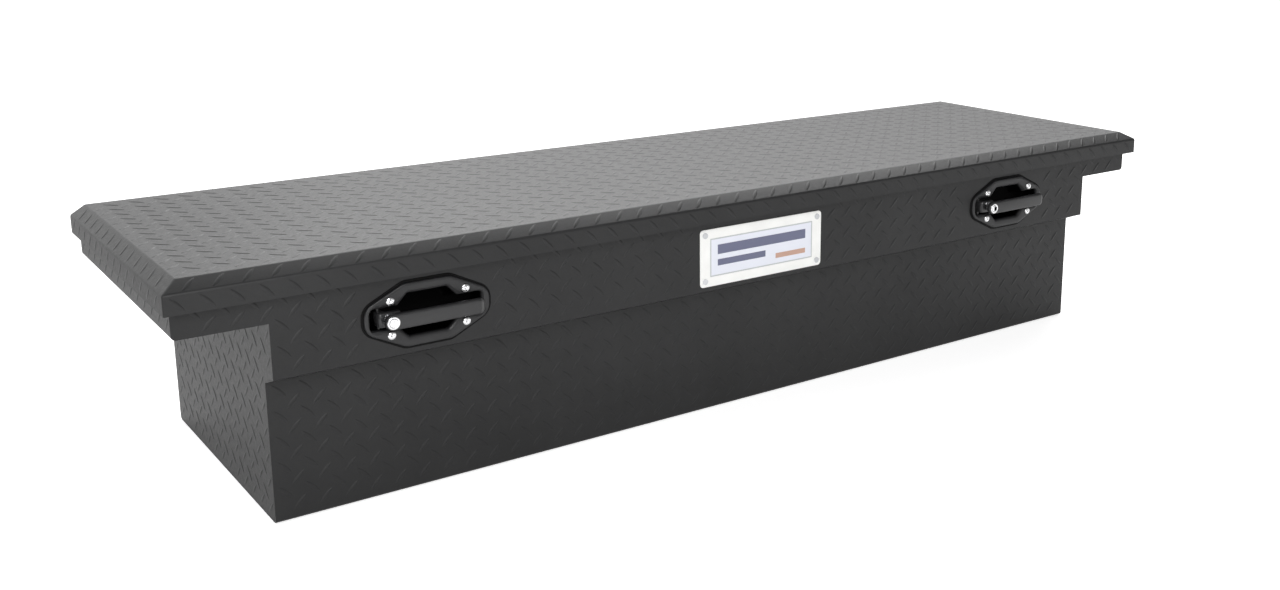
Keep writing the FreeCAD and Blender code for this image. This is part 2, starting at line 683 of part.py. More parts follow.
def build_lock(side, centre):
    """Key cylinder carried by the lever: its case, the plug with a keyway, and the cam behind."""
    x = centre - cell("lock_x")
    face = front - cell("lock_front")
    length = cell("lock_front") - cell("lever_front") + cell("lever_thick") + cell("lock_behind")
    case = cylinder(side + "_lock_case", "y", (x, face, latch_z), cell("lock_radius"), length)
    plug_room = cell("plug_radius") + cell("fit_clearance")
    plug_bore = bore(side + "_plug_bore", "y", (x, face, latch_z), plug_room, length)
    node(cut(side + "_lock_case_solid", case, plug_bore), side + "_lock_cylinder")
    proud = cell("plug_proud")
    plug = cylinder(side + "_plug_bar", "y", (x, face - proud, latch_z), cell("plug_radius"), length + proud)
    slit = cell("keyway_half_width")
    rise = cell("keyway_half_height")
    keyway = box(
        side + "_keyway", (x - slit, x + slit), (face - OVERRUN, face + cell("keyway_depth")),
        (latch_z - rise, latch_z + rise),
    )
    node(cut(side + "_plug_solid", plug, keyway), side + "_key_plug")
    rear = face + length
    half = cell("cam_half_width")
    cam = box(
        side + "_cam_bar", (x - half, x + half), (rear, rear + cell("cam_sheet")),
        (latch_z - half, latch_z + cell("cam_reach")),
    )
    node(cam, side + "_lock_cam")


# ---------------------------------------------------------------- rotary latch behind the dish
# each pivot's place in Y and Z, and its pin's radius
PIVOTS = {
    "fork": (fork_y, fork_z, cell("fork_pin_radius")),
    "pawl": (pawl_y, pawl_z, cell("pawl_pin_radius")),
}


def build_housing(side, centre):
    """Base plate against the dish and two ears that carry the pins, notched for the striker."""
    face = front + cell("dish_depth") + cell("dish_wall")
    half = cell("housing_half_width")
    ear_low = latch_z - cell("ear_foot")
    ear_top = fork_z + cell("fork_radius")
    ear_tip = fork_y + cell("fork_radius") + cell("ear_margin")
    base = box(
        side + "_housing_base", (centre - half, centre + half), (face, face + cell("ear_sheet")),
        (latch_z - cell("housing_below"), latch_z + cell("housing_above")),
    )
    ears = []
    for sign in (-1, 1):
        thick = (centre + cell("ear_inside") * sign, centre + ear_out * sign)
        ears.append(box("%s_ear_%d" % (side, sign), thick, (face, ear_tip), (ear_low, ear_top)))
    room = cell("slot_half") + cell("notch_slack")
    notch = box(
        side + "_notch", (centre - ear_out - OVERRUN, centre + ear_out + OVERRUN),
        (striker_y - room, striker_y + room), (fork_z - room, ear_top + OVERRUN),
    )
    holes = [
        bore("%s_%s_ear_bore" % (side, tag), "x", (centre - ear_out, y, z), radius, ear_out * 2)
        for tag, (y, z, radius) in PIVOTS.items()
    ]
    whole = fuse(side + "_housing_whole", base, *ears)
    node(cut(side + "_housing_solid", whole, notch, *holes), side + "_latch_housing")


def build_fork(side, centre):
    """Disc with a curved slot that takes the striker in and holds it once the fork has turned."""
    half = cell("fork_half")
    slot = cell("slot_half")
    reach = cell("fork_reach")
    radius = cell("fork_radius")
    hub = (centre - half, fork_y, fork_z)
    thick = (centre - half - OVERRUN, centre + half + OVERRUN)
    disc = cylinder(side + "_fork_disc", "x", hub, radius, half * 2)
    wide = bore(side + "_slot_wide", "x", hub, reach + slot, half * 2)
    slim = bore(side + "_slot_slim", "x", hub, reach - slot, half * 2)
    slot_part = doc.addObject("Part::Common", side + "_slot")
    slot_part.Base = cut(side + "_slot_ring", wide, slim)
    slot_part.Tool = box(side + "_slot_quarter", thick, (fork_y - radius, fork_y), (fork_z - radius, fork_z))
    mouth = box(
        side + "_mouth", thick, (fork_y - radius - OVERRUN, fork_y - reach + slot),
        (fork_z, fork_z + radius + OVERRUN),
    )
    pin_room = cell("fork_pin_radius") + cell("fit_clearance")
    pin_bore = bore(side + "_fork_bore", "x", hub, pin_room, half * 2)
    node(cut(side + "_fork_solid", disc, slot_part, mouth, pin_bore), side + "_fork")


def build_pawl(side, centre):
    """Hub and an arm that leans toward the fork's pin."""
    half = cell("fork_half")
    hub_start = (centre - half, pawl_y, pawl_z)
    hub = cylinder(side + "_pawl_hub", "x", hub_start, cell("pawl_pin_radius") + cell("pawl_wall"), half * 2)
    lean = math.atan2((fork_z - pawl_z).number, (fork_y - pawl_y).number)
    height = cell("pawl_arm_height")
    arm = doc.addObject("Part::Box", side + "_pawl_arm")
    bind(arm, "Length", half * 2)
    bind(arm, "Width", cell("pawl_arm"))
    bind(arm, "Height", height)
    turn = FreeCAD.Rotation(FreeCAD.Vector(1, 0, 0), math.degrees(lean))
    arm.Placement = FreeCAD.Placement(FreeCAD.Vector(), turn)
    # the arm is centred on the line from the hub to the fork's pin
    place(arm, centre - half, pawl_y + height / 2 * math.sin(lean), pawl_z - height / 2 * math.cos(lean))
    pin_room = cell("pawl_pin_radius") + cell("fit_clearance")
    pin_bore = bore(side + "_pawl_bore", "x", hub_start, pin_room, half * 2)
    node(cut(side + "_pawl_solid", fuse(side + "_pawl_whole", hub, arm), pin_bore), side + "_pawl")


def build_latch_pins(side, centre):
    """The headed pins of the fork and the pawl, each with a spring outside the right ear."""
    head = cell("pin_head")
    width = cell("spring_width")
    for tag, (y, z, radius) in PIVOTS.items():
        name = "%s_%s" % (side, tag)
        stem_length = ear_out * 2 + width + head
        stem = cylinder(name + "_pin_stem", "x", (centre - ear_out, y, z), radius, stem_length)
        cap_start = (centre - ear_out - head, y, z)
        cap = cylinder(name + "_pin_cap", "x", cap_start, radius + cell("pin_head_lip"), head)
        node(fuse(name + "_pin_solid", stem, cap), name + "_pin")
        spring_start = (centre + ear_out, y, z)
        coil = cylinder(name + "_coil", "x", spring_start, radius + cell("spring_outside"), width)
        core = bore(name + "_coil_core", "x", spring_start, radius + cell("spring_inside"), width)
        node(cut(name + "_spring_solid", coil, core), name + "_spring")


def build_striker(side, centre):
    """Bar across two legs that hang from a foot plate under the lid's pan."""
    leg_x = cell("striker_leg_x")
    leg_radius = cell("striker_leg_radius")
    pan = cell("pan_under")
    foot = pan - cell("striker_sheet")
    leg_low = fork_z - leg_radius - cell("striker_leg_tail")
    bar_start = (centre - leg_x, striker_y, fork_z)
    pieces = [cylinder(side + "_striker_bar", "x", bar_start, cell("striker_radius"), leg_x * 2)]
    for sign in (-1, 1):
        tag = "%s_striker_leg_%d" % (side, sign)
        leg_start = (centre + leg_x * sign, striker_y, leg_low)
        pieces.append(cylinder(tag, "z", leg_start, leg_radius, foot - leg_low))
    half_x = cell("striker_plate_half_x")
    half_y = cell("striker_plate_half_y")
    plate_y = (striker_y - half_y, striker_y + half_y)
    pieces.append(box(side + "_striker_plate", (centre - half_x, centre + half_x), plate_y, (foot, pan)))
    node(fuse(side + "_striker_solid", *pieces), side + "_striker")


# ---------------------------------------------------------------- gas struts
# the ball centres in (Y, Z), and the direction from the wall's to the lid's
STRUT_BASE = (cell("strut_base_y"), cell("strut_base_z"))
STRUT_HEAD = (cell("strut_lid_y"), cell("strut_lid_z"))
strut_run = (STRUT_HEAD[0] - STRUT_BASE[0]).number
strut_rise = (STRUT_HEAD[1] - STRUT_BASE[1]).number
strut_span = math.hypot(strut_run, strut_rise)


def strut_bar(name, x, distance, radius, length):
    """A round bar lying along the strut from a distance past the wall's ball centre."""
    bar = doc.addObject("Part::Cylinder", name)
    bind(bar, "Radius", radius)
    bind(bar, "Height", length)
    aim = FreeCAD.Vector(0, strut_run, strut_rise)
    bar.Placement = FreeCAD.Placement(FreeCAD.Vector(), FreeCAD.Rotation(FreeCAD.Vector(0, 0, 1), aim))
    share = distance / strut_span
    place(bar, x, STRUT_BASE[0] + strut_run * share, STRUT_BASE[1] + strut_rise * share)
    return bar


def build_strut(side):
    """Gas strut: a tube with an eye, and a rod with a piston and an eye."""
    x = cell("strut_x") * SIDES[side]
    socket = cell("socket_radius")
    half = cell("socket_half")
    length = cell("tube_length")
    start = cell("tube_start")
    floor = start + cell("tube_floor")
    eye_start = (x - half, *STRUT_BASE)
    eye = cylinder(side + "_tube_eye", "x", eye_start, socket, half * 2)
    barrel = strut_bar(side + "_tube_barrel", x, start, cell("strut_tube_radius"), length)
    hollow_length = length - cell("tube_floor") - cell("tube_cap")
    hollow = strut_bar(side + "_tube_hollow", x, floor, cell("strut_bore"), hollow_length)
    gland_radius = cell("strut_rod_radius") + cell("fit_clearance")
    gland = strut_bar(side + "_tube_gland", x, floor, gland_radius, length)
    stud_start = (x - half * 2, *STRUT_BASE)
    stud_bore = cylinder(
        side + "_tube_stud_bore", "x", stud_start, cell("stud_radius") + cell("fit_clearance"), half * 4,
    )
    whole = fuse(side + "_tube_whole", eye, barrel)
    node(cut(side + "_tube_solid", whole, hollow, gland, stud_bore), side + "_strut_tube")

    rod_start = cell("piston_start")
    piston_radius = cell("strut_bore") - cell("piston_slack")
    piston = strut_bar(side + "_piston", x, rod_start, piston_radius, cell("piston_length"))
    rod_length = size(strut_span) - rod_start
    rod = strut_bar(side + "_rod_bar", x, rod_start, cell("strut_rod_radius"), rod_length)
    rod_eye = cylinder(side + "_rod_eye", "x", (x - half, *STRUT_HEAD), socket, half * 2)
    node(fuse(side + "_rod_solid", piston, rod, rod_eye), side + "_strut_rod")


def build_strut_mounts(side):
    """The bracket on the end wall and the bracket under the lid, each with its ball stud."""
    sign = SIDES[side]
    x = cell("strut_x") * sign
    half = cell("socket_half")
    reach = cell("bracket_half")
    sheet_x = cell("bracket_sheet") * sign
    stud = cell("stud_radius")
    y, z = STRUT_BASE
    wall = (half_tub - skin) * sign
    plate = box(side + "_wall_plate", (wall, wall - sheet_x), (y - reach, y + reach), (z - reach, z + reach))
    low, high = sorted((x - half * sign, wall - sheet_x), key=lambda s: s.number)
    shaft = cylinder(side + "_wall_stud", "x", (low, y, z), stud, high - low)
    node(fuse(side + "_wall_bracket_solid", plate, shaft), side + "_strut_wall_bracket")

    y, z = STRUT_HEAD
    pan = cell("pan_under")
    under = pan - cell("bracket_flat")
    tip = x + (half + cell("stud_gap")) * sign
    web_x = x + (half + cell("web_gap")) * sign
    flat_x = (tip, web_x + cell("bracket_foot") * sign)
    flat = box(side + "_lid_plate", flat_x, (y - reach, y + reach), (under, pan))
    web_y = (y - cell("bracket_web_half"), y + cell("bracket_web_half"))
    web = box(side + "_lid_web", (web_x, web_x + sheet_x), web_y, (z - cell("bracket_web_below"), under))
    low, high = sorted((tip, web_x), key=lambda s: s.number)
    lid_stud = cylinder(side + "_lid_stud", "x", (low, y, z), stud, high - low)
    node(fuse(side + "_lid_bracket_solid", flat, web, lid_stud), side + "_strut_lid_bracket")


# ---------------------------------------------------------------- nameplate
def build_nameplate():
    """Blank plate with rounded corners and its four rivets."""
    half_x = cell("plate_half_width")
    half_z = cell("plate_half_height")
    thick = cell("plate_sheet")
    inset = cell("plate_rivet_inset")
    z = cell("plate_z")
    outline = [(-half_x, z - half_z), (half_x, z - half_z), (half_x, z + half_z), (-half_x, z + half_z)]
    plate = prism("plate_body", "y", outline, front - thick, front)
    round_over(plate, "y", outline, cell("plate_corner"))
    node(plate, "nameplate")
    rivets = []
    for i in (-1, 1):
        for j in (-1, 1):
            spot = ((half_x - inset) * i, front - thick, z + (half_z - inset) * j)
            rivets.append(rivet("plate_rivet_%d_%d" % (i, j), spot, -1, thick + skin))
    node(group("plate_rivet_group", rivets), "nameplate_rivets")


build_tub_wrap()
build_end_saddle("left")
build_end_saddle("right")
build_rim_and_seal()
build_lid()
build_hinge()
for latch_side, latch_centre in latch_centres.items():
    build_dish(latch_side, latch_centre)
    build_lever(latch_side, latch_centre)
    build_lock(latch_side, latch_centre)
    build_housing(latch_side, latch_centre)
    build_fork(latch_side, latch_centre)
    build_pawl(latch_side, latch_centre)
    build_latch_pins(latch_side, latch_centre)
    build_striker(latch_side, latch_centre)
    build_strut_mounts(latch_side)
    build_strut(latch_side)
build_latch_fasteners()
build_nameplate()
doc.recompute()

failed = [thing.Name for thing in doc.Objects if "Invalid" in thing.State or "Error" in thing.State]
for piece in nodes:
    if piece.Shape.isNull() or not piece.Shape.isValid() or not piece.Shape.Solids:
        failed.append(piece.Label)
if failed:
    raise RuntimeError("not built: %s" % ", ".join(failed))

os.makedirs("parts", exist_ok=True)
for piece in nodes:
    piece.Shape.exportStep("parts/%s.step" % piece.Label)
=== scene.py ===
"""Looks of the crossover truck tool box: finishes, tread lugs, folded lid, latches, studio and camera."""
import json
import math

import bpy
import numpy as np
from mathutils import Matrix, Vector


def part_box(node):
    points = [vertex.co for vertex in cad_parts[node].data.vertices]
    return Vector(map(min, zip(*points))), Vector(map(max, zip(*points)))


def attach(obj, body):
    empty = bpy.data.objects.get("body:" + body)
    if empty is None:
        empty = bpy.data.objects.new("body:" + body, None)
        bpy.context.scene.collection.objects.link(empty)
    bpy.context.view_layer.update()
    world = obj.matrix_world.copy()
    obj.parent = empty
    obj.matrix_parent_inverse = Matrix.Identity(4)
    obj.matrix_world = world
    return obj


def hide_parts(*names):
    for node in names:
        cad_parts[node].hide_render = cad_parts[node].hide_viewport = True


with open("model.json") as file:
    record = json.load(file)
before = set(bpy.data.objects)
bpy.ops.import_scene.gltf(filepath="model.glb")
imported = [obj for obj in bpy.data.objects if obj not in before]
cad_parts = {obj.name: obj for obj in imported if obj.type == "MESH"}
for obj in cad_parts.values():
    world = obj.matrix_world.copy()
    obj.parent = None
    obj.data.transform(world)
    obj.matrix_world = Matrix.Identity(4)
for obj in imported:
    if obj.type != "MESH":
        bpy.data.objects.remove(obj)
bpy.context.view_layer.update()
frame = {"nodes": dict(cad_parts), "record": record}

MM = 0.001
NODES = frame["nodes"]
SIDES = ("left", "right")


def mount(name):
    """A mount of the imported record, by its name."""
    return next(m for m in frame["record"]["mounts"] if m["name"] == name)


# ---------------------------------------------------------------- places read from the frame
LID_LOW, LID_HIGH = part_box("lid_skin")
TUB_LOW, TUB_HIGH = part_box("tub_wrap")
SADDLE_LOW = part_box("right_end_saddle")[0]
LEAF_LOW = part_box("hinge_body_leaf")[0]
PLATE_LOW, PLATE_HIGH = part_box("nameplate")
WING_UNDER = mount("left_rail_face")["pos_m"][2]

# folds of the sheets, which no box gives
SHEET = 1.6 * MM
BAND_BOTTOM = 206 * MM
STEP_RUN, STEP_DROP = 34 * MM, 13 * MM
CHAMFER_RUN, CHAMFER_DROP = 21 * MM, 13 * MM

BAND_Y = TUB_LOW.y
BACK_Y = TUB_HIGH.y
WING_X = TUB_HIGH.x
TUB_X = SADDLE_LOW.x + SHEET
STEP_SLOPE = math.hypot(STEP_RUN, STEP_DROP)
CHAMFER_SLOPE = math.hypot(CHAMFER_RUN, CHAMFER_DROP)
SHOULDER_Z = LID_HIGH.z - CHAMFER_DROP


def latch_middle(side):
    """Centre of a latch on the face of the band."""
    low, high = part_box(side + "_latch_gasket")
    return Vector(((low.x + high.x) / 2, BAND_Y, (low.z + high.z) / 2))


# ---------------------------------------------------------------- mesh helpers
ARC_SHARE = 0.48
WELD_GAP = 0.02 * MM
FLAT_WITHIN = math.radians(1.0)
CRISP_BEYOND = math.radians(35.0)


def add_piece(name, verts, faces, body, material, smooth):
    """A closed mesh that rides on a body; edges sharper than smooth degrees stay crisp."""
    mesh = bpy.data.meshes.new(name)
    mesh.from_pydata([tuple(v) for v in verts], [], [tuple(f) for f in faces])
    mesh.validate()
    mesh.materials.append(material)
    mesh.polygons.foreach_set("use_smooth", [True] * len(mesh.polygons))
    mesh.set_sharp_from_angle(angle=math.radians(smooth))
    piece = bpy.data.objects.new(name, mesh)
    bpy.context.scene.collection.objects.link(piece)
    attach(piece, body)
    return piece


def loft(rings, wrap=False):
    """Verts and quads that join closed rings of equal length; the ends are filled, or joined with wrap."""
    count = len(rings[0])
    verts = [p for ring in rings for p in ring]
    faces = []
    for level in range(len(rings) if wrap else len(rings) - 1):
        a, b = level * count, (level + 1) % len(rings) * count
        for i in range(count):
            j = (i + 1) % count
            faces.append((a + i, a + j, b + j, b + i))
    if not wrap:
        last = (len(rings) - 1) * count
        faces.append(tuple(reversed(range(count))))
        faces.append(tuple(range(last, last + count)))
    return verts, faces


def soften(node, width):
    """Rounds the crisp edges of a CAD node for the picture; its own vertices stay as they are."""
    thing = NODES[node]
    weld = thing.modifiers.new("weld", "WELD")
    weld.merge_threshold = WELD_GAP
    flat = thing.modifiers.new("flat", "DECIMATE")
    flat.decimate_type = "DISSOLVE"
    flat.angle_limit = FLAT_WITHIN
    bevel = thing.modifiers.new("bevel", "BEVEL")
    bevel.width = width
    bevel.segments = 2
    bevel.limit_method = "ANGLE"
    bevel.angle_limit = CRISP_BEYOND
    bevel.harden_normals = False
    thing.data.polygons.foreach_set("use_smooth", [True] * len(thing.data.polygons))
    smooth = thing.modifiers.new("normals", "WEIGHTED_NORMAL")
    smooth.keep_sharp = False
    smooth.weight = 100


def rounded(corners, radius, steps):
    """A closed 2-D outline with each corner turned through an arc of the radius."""
    points = []
    count = len(corners)
    for i, corner in enumerate(corners):
        here = Vector(corner)
        before = Vector(corners[i - 1]) - here
        after = Vector(corners[(i + 1) % count]) - here
        half = before.angle(after) / 2
        # an arc takes at most just under half of either side
        reach = min(radius / math.tan(half), before.length * ARC_SHARE, after.length * ARC_SHARE)
        real = reach * math.tan(half)
        start = here + before.normalized() * reach
        end = here + after.normalized() * reach
        middle = here + (before.normalized() + after.normalized()).normalized() * (real / math.sin(half))
        a0 = math.atan2(start.y - middle.y, start.x - middle.x)
        a1 = math.atan2(end.y - middle.y, end.x - middle.x)
        turn = (a1 - a0 + math.pi) % (2 * math.pi) - math.pi
        for k in range(steps + 1):
            angle = a0 + turn * k / steps
            points.append((middle.x + real * math.cos(angle), middle.y + real * math.sin(angle)))
    return points


# ---------------------------------------------------------------- node helpers
LOW_STOP, HIGH_STOP = 0.3, 0.7
SPECKLE_FINER = 40
COAT_ROUGHNESS = 0.08


def new_material(name):
    """An empty node material with its output and principled shader."""
    material = bpy.data.materials.new(name)
    material.use_nodes = True
    tree = material.node_tree
    tree.nodes.clear()
    out = tree.nodes.new("ShaderNodeOutputMaterial")
    shader = tree.nodes.new("ShaderNodeBsdfPrincipled")
    tree.links.new(shader.outputs["BSDF"], out.inputs["Surface"])
    return material, tree, shader


def coordinates(tree, space="Object"):
    """Sockets for the X, Y and Z of a point: the object's own metres, or a direction for the world."""
    place = tree.nodes.new("ShaderNodeTexCoord")
    split = tree.nodes.new("ShaderNodeSeparateXYZ")
    tree.links.new(place.outputs[space], split.inputs[0])
    return split.outputs


def noise(tree, scale, detail=3.0, roughness=0.55, stretch=(1, 1, 1)):
    """Noise over the object's own metres; scale is in waves per metre."""
    place = tree.nodes.new("ShaderNodeTexCoord")
    mapping = tree.nodes.new("ShaderNodeMapping")
    mapping.inputs["Scale"].default_value = stretch
    texture = tree.nodes.new("ShaderNodeTexNoise")
    texture.inputs["Scale"].default_value = scale
    texture.inputs["Detail"].default_value = detail
    texture.inputs["Roughness"].default_value = roughness
    tree.links.new(place.outputs["Object"], mapping.inputs["Vector"])
    tree.links.new(mapping.outputs["Vector"], texture.inputs["Vector"])
    return texture.outputs["Fac"]


def ramp(tree, source, stops):
    """A colour ramp over a value: stops are (position, colour or grey)."""
    node = tree.nodes.new("ShaderNodeValToRGB")
    elements = node.color_ramp.elements
    while len(elements) < len(stops):
        elements.new(0.5)
    for element, (position, colour) in zip(elements, stops):
        element.position = position
        element.color = (colour, colour, colour, 1) if isinstance(colour, float) else (*colour, 1)
    tree.links.new(source, node.inputs["Fac"])
    return node.outputs["Color"]


def maths(tree, operation, a, b):
    """One maths node; a and b are sockets or numbers."""
    node = tree.nodes.new("ShaderNodeMath")
    node.operation = operation
    for socket, value in zip(node.inputs, (a, b)):
        if isinstance(value, float):
            socket.default_value = value
        else:
            tree.links.new(value, socket)
    return node.outputs[0]


def stripe(tree, value, low, high):
    """1 where a coordinate lies between two positions, else 0."""
    above = maths(tree, "GREATER_THAN", value, low)
    return maths(tree, "MULTIPLY", above, maths(tree, "LESS_THAN", value, high))


def fade(tree, value, low, high, at_low=0.0, at_high=1.0):
    """Goes evenly from at_low to at_high while a value goes from low to high."""
    node = tree.nodes.new("ShaderNodeMapRange")
    for name, number in (("From Min", low), ("From Max", high), ("To Min", at_low), ("To Max", at_high)):
        node.inputs[name].default_value = number
    tree.links.new(value, node.inputs["Value"])
    return node.outputs["Result"]


def paint(tree, under, colour, mask):
    """Lays a colour over what is under it where the mask is 1."""
    node = tree.nodes.new("ShaderNodeMix")
    node.data_type = "RGBA"
    node.inputs["B"].default_value = (*colour, 1)
    tree.links.new(mask, node.inputs["Factor"])
    tree.links.new(under, node.inputs["A"])
    return node.outputs["Result"]


def paint_base(tree, shader, colour, mask):
    """Lays a colour over a shader's base colour where the mask is 1."""
    base = shader.inputs["Base Color"]
    tree.links.new(paint(tree, base.links[0].from_socket, colour, mask), base)


def bump(tree, shader, layers):
    """Chains height layers of (value, strength, distance) into the shader's normal."""
    normal = None
    for height, strength, distance in layers:
        node = tree.nodes.new("ShaderNodeBump")
        node.inputs["Strength"].default_value = strength
        node.inputs["Distance"].default_value = distance
        tree.links.new(height, node.inputs["Height"])
        if normal is not None:
            tree.links.new(normal, node.inputs["Normal"])
        normal = node.outputs["Normal"]
    tree.links.new(normal, shader.inputs["Normal"])


def finish(
    name, dark, light, rough, grain, patch=6.0, metallic=0.0, coat=0.0, specular=0.5, stretch=(1, 1, 1),
):
    """A surface whose colour and roughness drift between two values, with grain in its normal.

    patch is the drift's waves per metre, and grain holds layers of (waves per metre, strength, distance).
    """
    material, tree, shader = new_material(name)
    drift = noise(tree, patch, 4.0, 0.6)
    tree.links.new(ramp(tree, drift, [(LOW_STOP, dark), (HIGH_STOP, light)]), shader.inputs["Base Color"])
    speckle = noise(tree, patch * SPECKLE_FINER, 3.0, 0.6, stretch)
    roughness = ramp(tree, speckle, [(LOW_STOP, rough[0]), (HIGH_STOP, rough[1])])
    tree.links.new(roughness, shader.inputs["Roughness"])
    shader.inputs["Metallic"].default_value = metallic
    shader.inputs["Coat Weight"].default_value = coat
    shader.inputs["Coat Roughness"].default_value = COAT_ROUGHNESS
    shader.inputs["Specular IOR Level"].default_value = specular
    bump(tree, shader, [(noise(tree, waves, 2.0, 0.5, stretch), *depth) for waves, *depth in grain])
    return material


def parts_of(material):
    """A finish's node tree and its principled shader."""
    tree = material.node_tree
    return tree, next(node for node in tree.nodes if node.type == "BSDF_PRINCIPLED")


# ---------------------------------------------------------------- finishes
# painted shade: the dish's colour and sheen fade to black over these depths about the band's face, where
# the hollow lies in shade
HOLLOW_SHADE_FADE = (-3.2 * MM, 3.0 * MM)
HOLLOW_PAINTED_SHADE = (0.0008, 0.0008, 0.0008)
FLANGE_SHEEN, HOLLOW_SHADED_SHEEN = 0.5, 0.02
# painted highlight: a lighter grey on the free end of each lever bar; it fades in between the first two
# distances from the latch's middle and stops at the third
HIGHLIGHT_START, HIGHLIGHT_FULL, HIGHLIGHT_END = 65.0 * MM, 68.5 * MM, 90.0 * MM
PAINTED_HIGHLIGHT_GREY = (0.085, 0.085, 0.085)

# what is printed on the plate: half width, bottom, top and sideways shift, from the plate's middle
PRINT_FRAME = (100 * MM, -30 * MM, 30 * MM, 0.0)
PRINT_FIELD = (98 * MM, -28 * MM, 28 * MM, 0.0)
LONG_BAR = (86 * MM, 4 * MM, 19 * MM, 0.0)
SHORT_BAR = (46 * MM, -14 * MM, -4 * MM, -40 * MM)
WARM_BAR = (30 * MM, -20 * MM, -12 * MM, 56 * MM)
FRAME_GREY = (0.50, 0.52, 0.53)
FIELD_PALE = (0.80, 0.82, 0.90)
BAR_DARK = (0.14, 0.15, 0.24)
BAR_WARM = (0.55, 0.34, 0.26)


def latch_enamel():
    """Black enamel: satin on the flange; inside the hollow its colour and sheen are painted down to black
    as painted shade.
    """
    material = finish(
        "black_enamel_painted_shade", (0.016, 0.016, 0.017), (0.022, 0.022, 0.023), (0.34, 0.44),
        grain=[(260.0, 0.10, 0.0002), (1800.0, 0.10, 0.00005)], patch=20.0,
    )
    tree, shader = parts_of(material)
    # painted shade: deeper than the band's face the colour goes to black and the sheen drops
    inside = fade(tree, coordinates(tree)["Y"], BAND_Y + HOLLOW_SHADE_FADE[0], BAND_Y + HOLLOW_SHADE_FADE[1])
    paint_base(tree, shader, HOLLOW_PAINTED_SHADE, inside)
    shaded_sheen = fade(tree, inside, 0.0, 1.0, FLANGE_SHEEN, HOLLOW_SHADED_SHEEN)
    tree.links.new(shaded_sheen, shader.inputs["Specular IOR Level"])
    return material


def lever_enamel():
    """Satin black enamel, with a painted highlight: the free end of each bar is coloured a lighter grey
    where it catches the light.
    """
    material = finish(
        "satin_black_painted_highlight", (0.018, 0.018, 0.019), (0.026, 0.026, 0.027), (0.30, 0.40),
        grain=[(300.0, 0.12, 0.0002), (1600.0, 0.15, 0.00006)], coat=0.2, patch=20.0,
    )
    tree, shader = parts_of(material)
    across = coordinates(tree)["X"]
    # painted highlight: the free end of each bar is laid over with a lighter grey
    ends = []
    for side in SIDES:
        middle = latch_middle(side).x
        lit_end = fade(tree, across, middle + HIGHLIGHT_START, middle + HIGHLIGHT_FULL)
        ends.append(maths(tree, "MULTIPLY", lit_end, stripe(tree, across, middle, middle + HIGHLIGHT_END)))
    paint_base(tree, shader, PAINTED_HIGHLIGHT_GREY, maths(tree, "MAXIMUM", *ends))
    return material


def printed_plate():
    """Satin white plate printed with a thin grey frame, two plain dark bars and one warm bar."""
    material, tree, shader = new_material("printed_plate")
    drift = noise(tree, 40.0, 3.0)
    colour = ramp(tree, drift, [(LOW_STOP, (0.90, 0.90, 0.88)), (HIGH_STOP, (0.96, 0.96, 0.94))])
    axes = coordinates(tree)
    middle = (PLATE_LOW.z + PLATE_HIGH.z) / 2

    def panel(half, bottom, top, shift):
        across = stripe(tree, axes["X"], shift - half, shift + half)
        return maths(tree, "MULTIPLY", across, stripe(tree, axes["Z"], middle + bottom, middle + top))

    field = panel(*PRINT_FIELD)
    edge = maths(tree, "SUBTRACT", panel(*PRINT_FRAME), field)
    for ink, mask in (
        (FIELD_PALE, field), (FRAME_GREY, edge), (BAR_DARK, panel(*LONG_BAR)),
        (BAR_DARK, panel(*SHORT_BAR)), (BAR_WARM, panel(*WARM_BAR)),
    ):
        colour = paint(tree, colour, ink, mask)
    tree.links.new(colour, shader.inputs["Base Color"])
    shader.inputs["Roughness"].default_value = 0.35
    bump(tree, shader, [(noise(tree, 500.0), 0.05, 0.0001)])
    return material


POWDER = finish(
    "black_powder_coat", (0.013, 0.013, 0.0135), (0.019, 0.019, 0.0195), (0.42, 0.52),
    grain=[(420.0, 0.30, 0.00025), (1500.0, 0.40, 0.00012)], specular=0.42,
)
LATCH_BLACK = latch_enamel()
LEVER_BLACK = lever_enamel()
RUBBER = finish(
    "black_rubber", (0.003, 0.003, 0.003), (0.006, 0.006, 0.006), (0.55, 0.70),
    grain=[(900.0, 0.25, 0.0001)], patch=15.0, specular=0.12,
)
CHROME = finish(
    "polished_chrome", (0.88, 0.88, 0.89), (0.95, 0.95, 0.96), (0.14, 0.24), metallic=1.0,
    grain=[(600.0, 0.03, 0.00005)], patch=30.0,
)
ZINC = finish(
    "zinc_plated_steel", (0.42, 0.43, 0.45), (0.60, 0.61, 0.63), (0.28, 0.45), metallic=1.0,
    grain=[(500.0, 0.12, 0.0001), (90.0, 0.08, 0.0002)], patch=25.0,
)
ALUMINIUM = finish(
    "mill_aluminium", (0.55, 0.56, 0.58), (0.72, 0.73, 0.75), (0.25, 0.42), metallic=1.0,
    grain=[(700.0, 0.15, 0.00008)], patch=12.0, stretch=(0.05, 1, 1),
)
HINGE_STEEL = finish(
    "dull_zinc_strip", (0.27, 0.275, 0.28), (0.31, 0.315, 0.32), (0.42, 0.50), metallic=1.0,
    grain=[(500.0, 0.10, 0.0001)], patch=70.0,
)
STRUT_BLACK = finish(
    "satin_black_tube", (0.012, 0.012, 0.012), (0.022, 0.022, 0.022), (0.25, 0.35),
    grain=[(800.0, 0.08, 0.00006)], patch=20.0, coat=0.3,
)
FOAM = finish(
    "rigid_foam", (0.62, 0.56, 0.38), (0.75, 0.69, 0.50), (0.85, 0.95),
    grain=[(500.0, 0.6, 0.0005)], patch=20.0, specular=0.2,
)
PLATE = printed_plate()

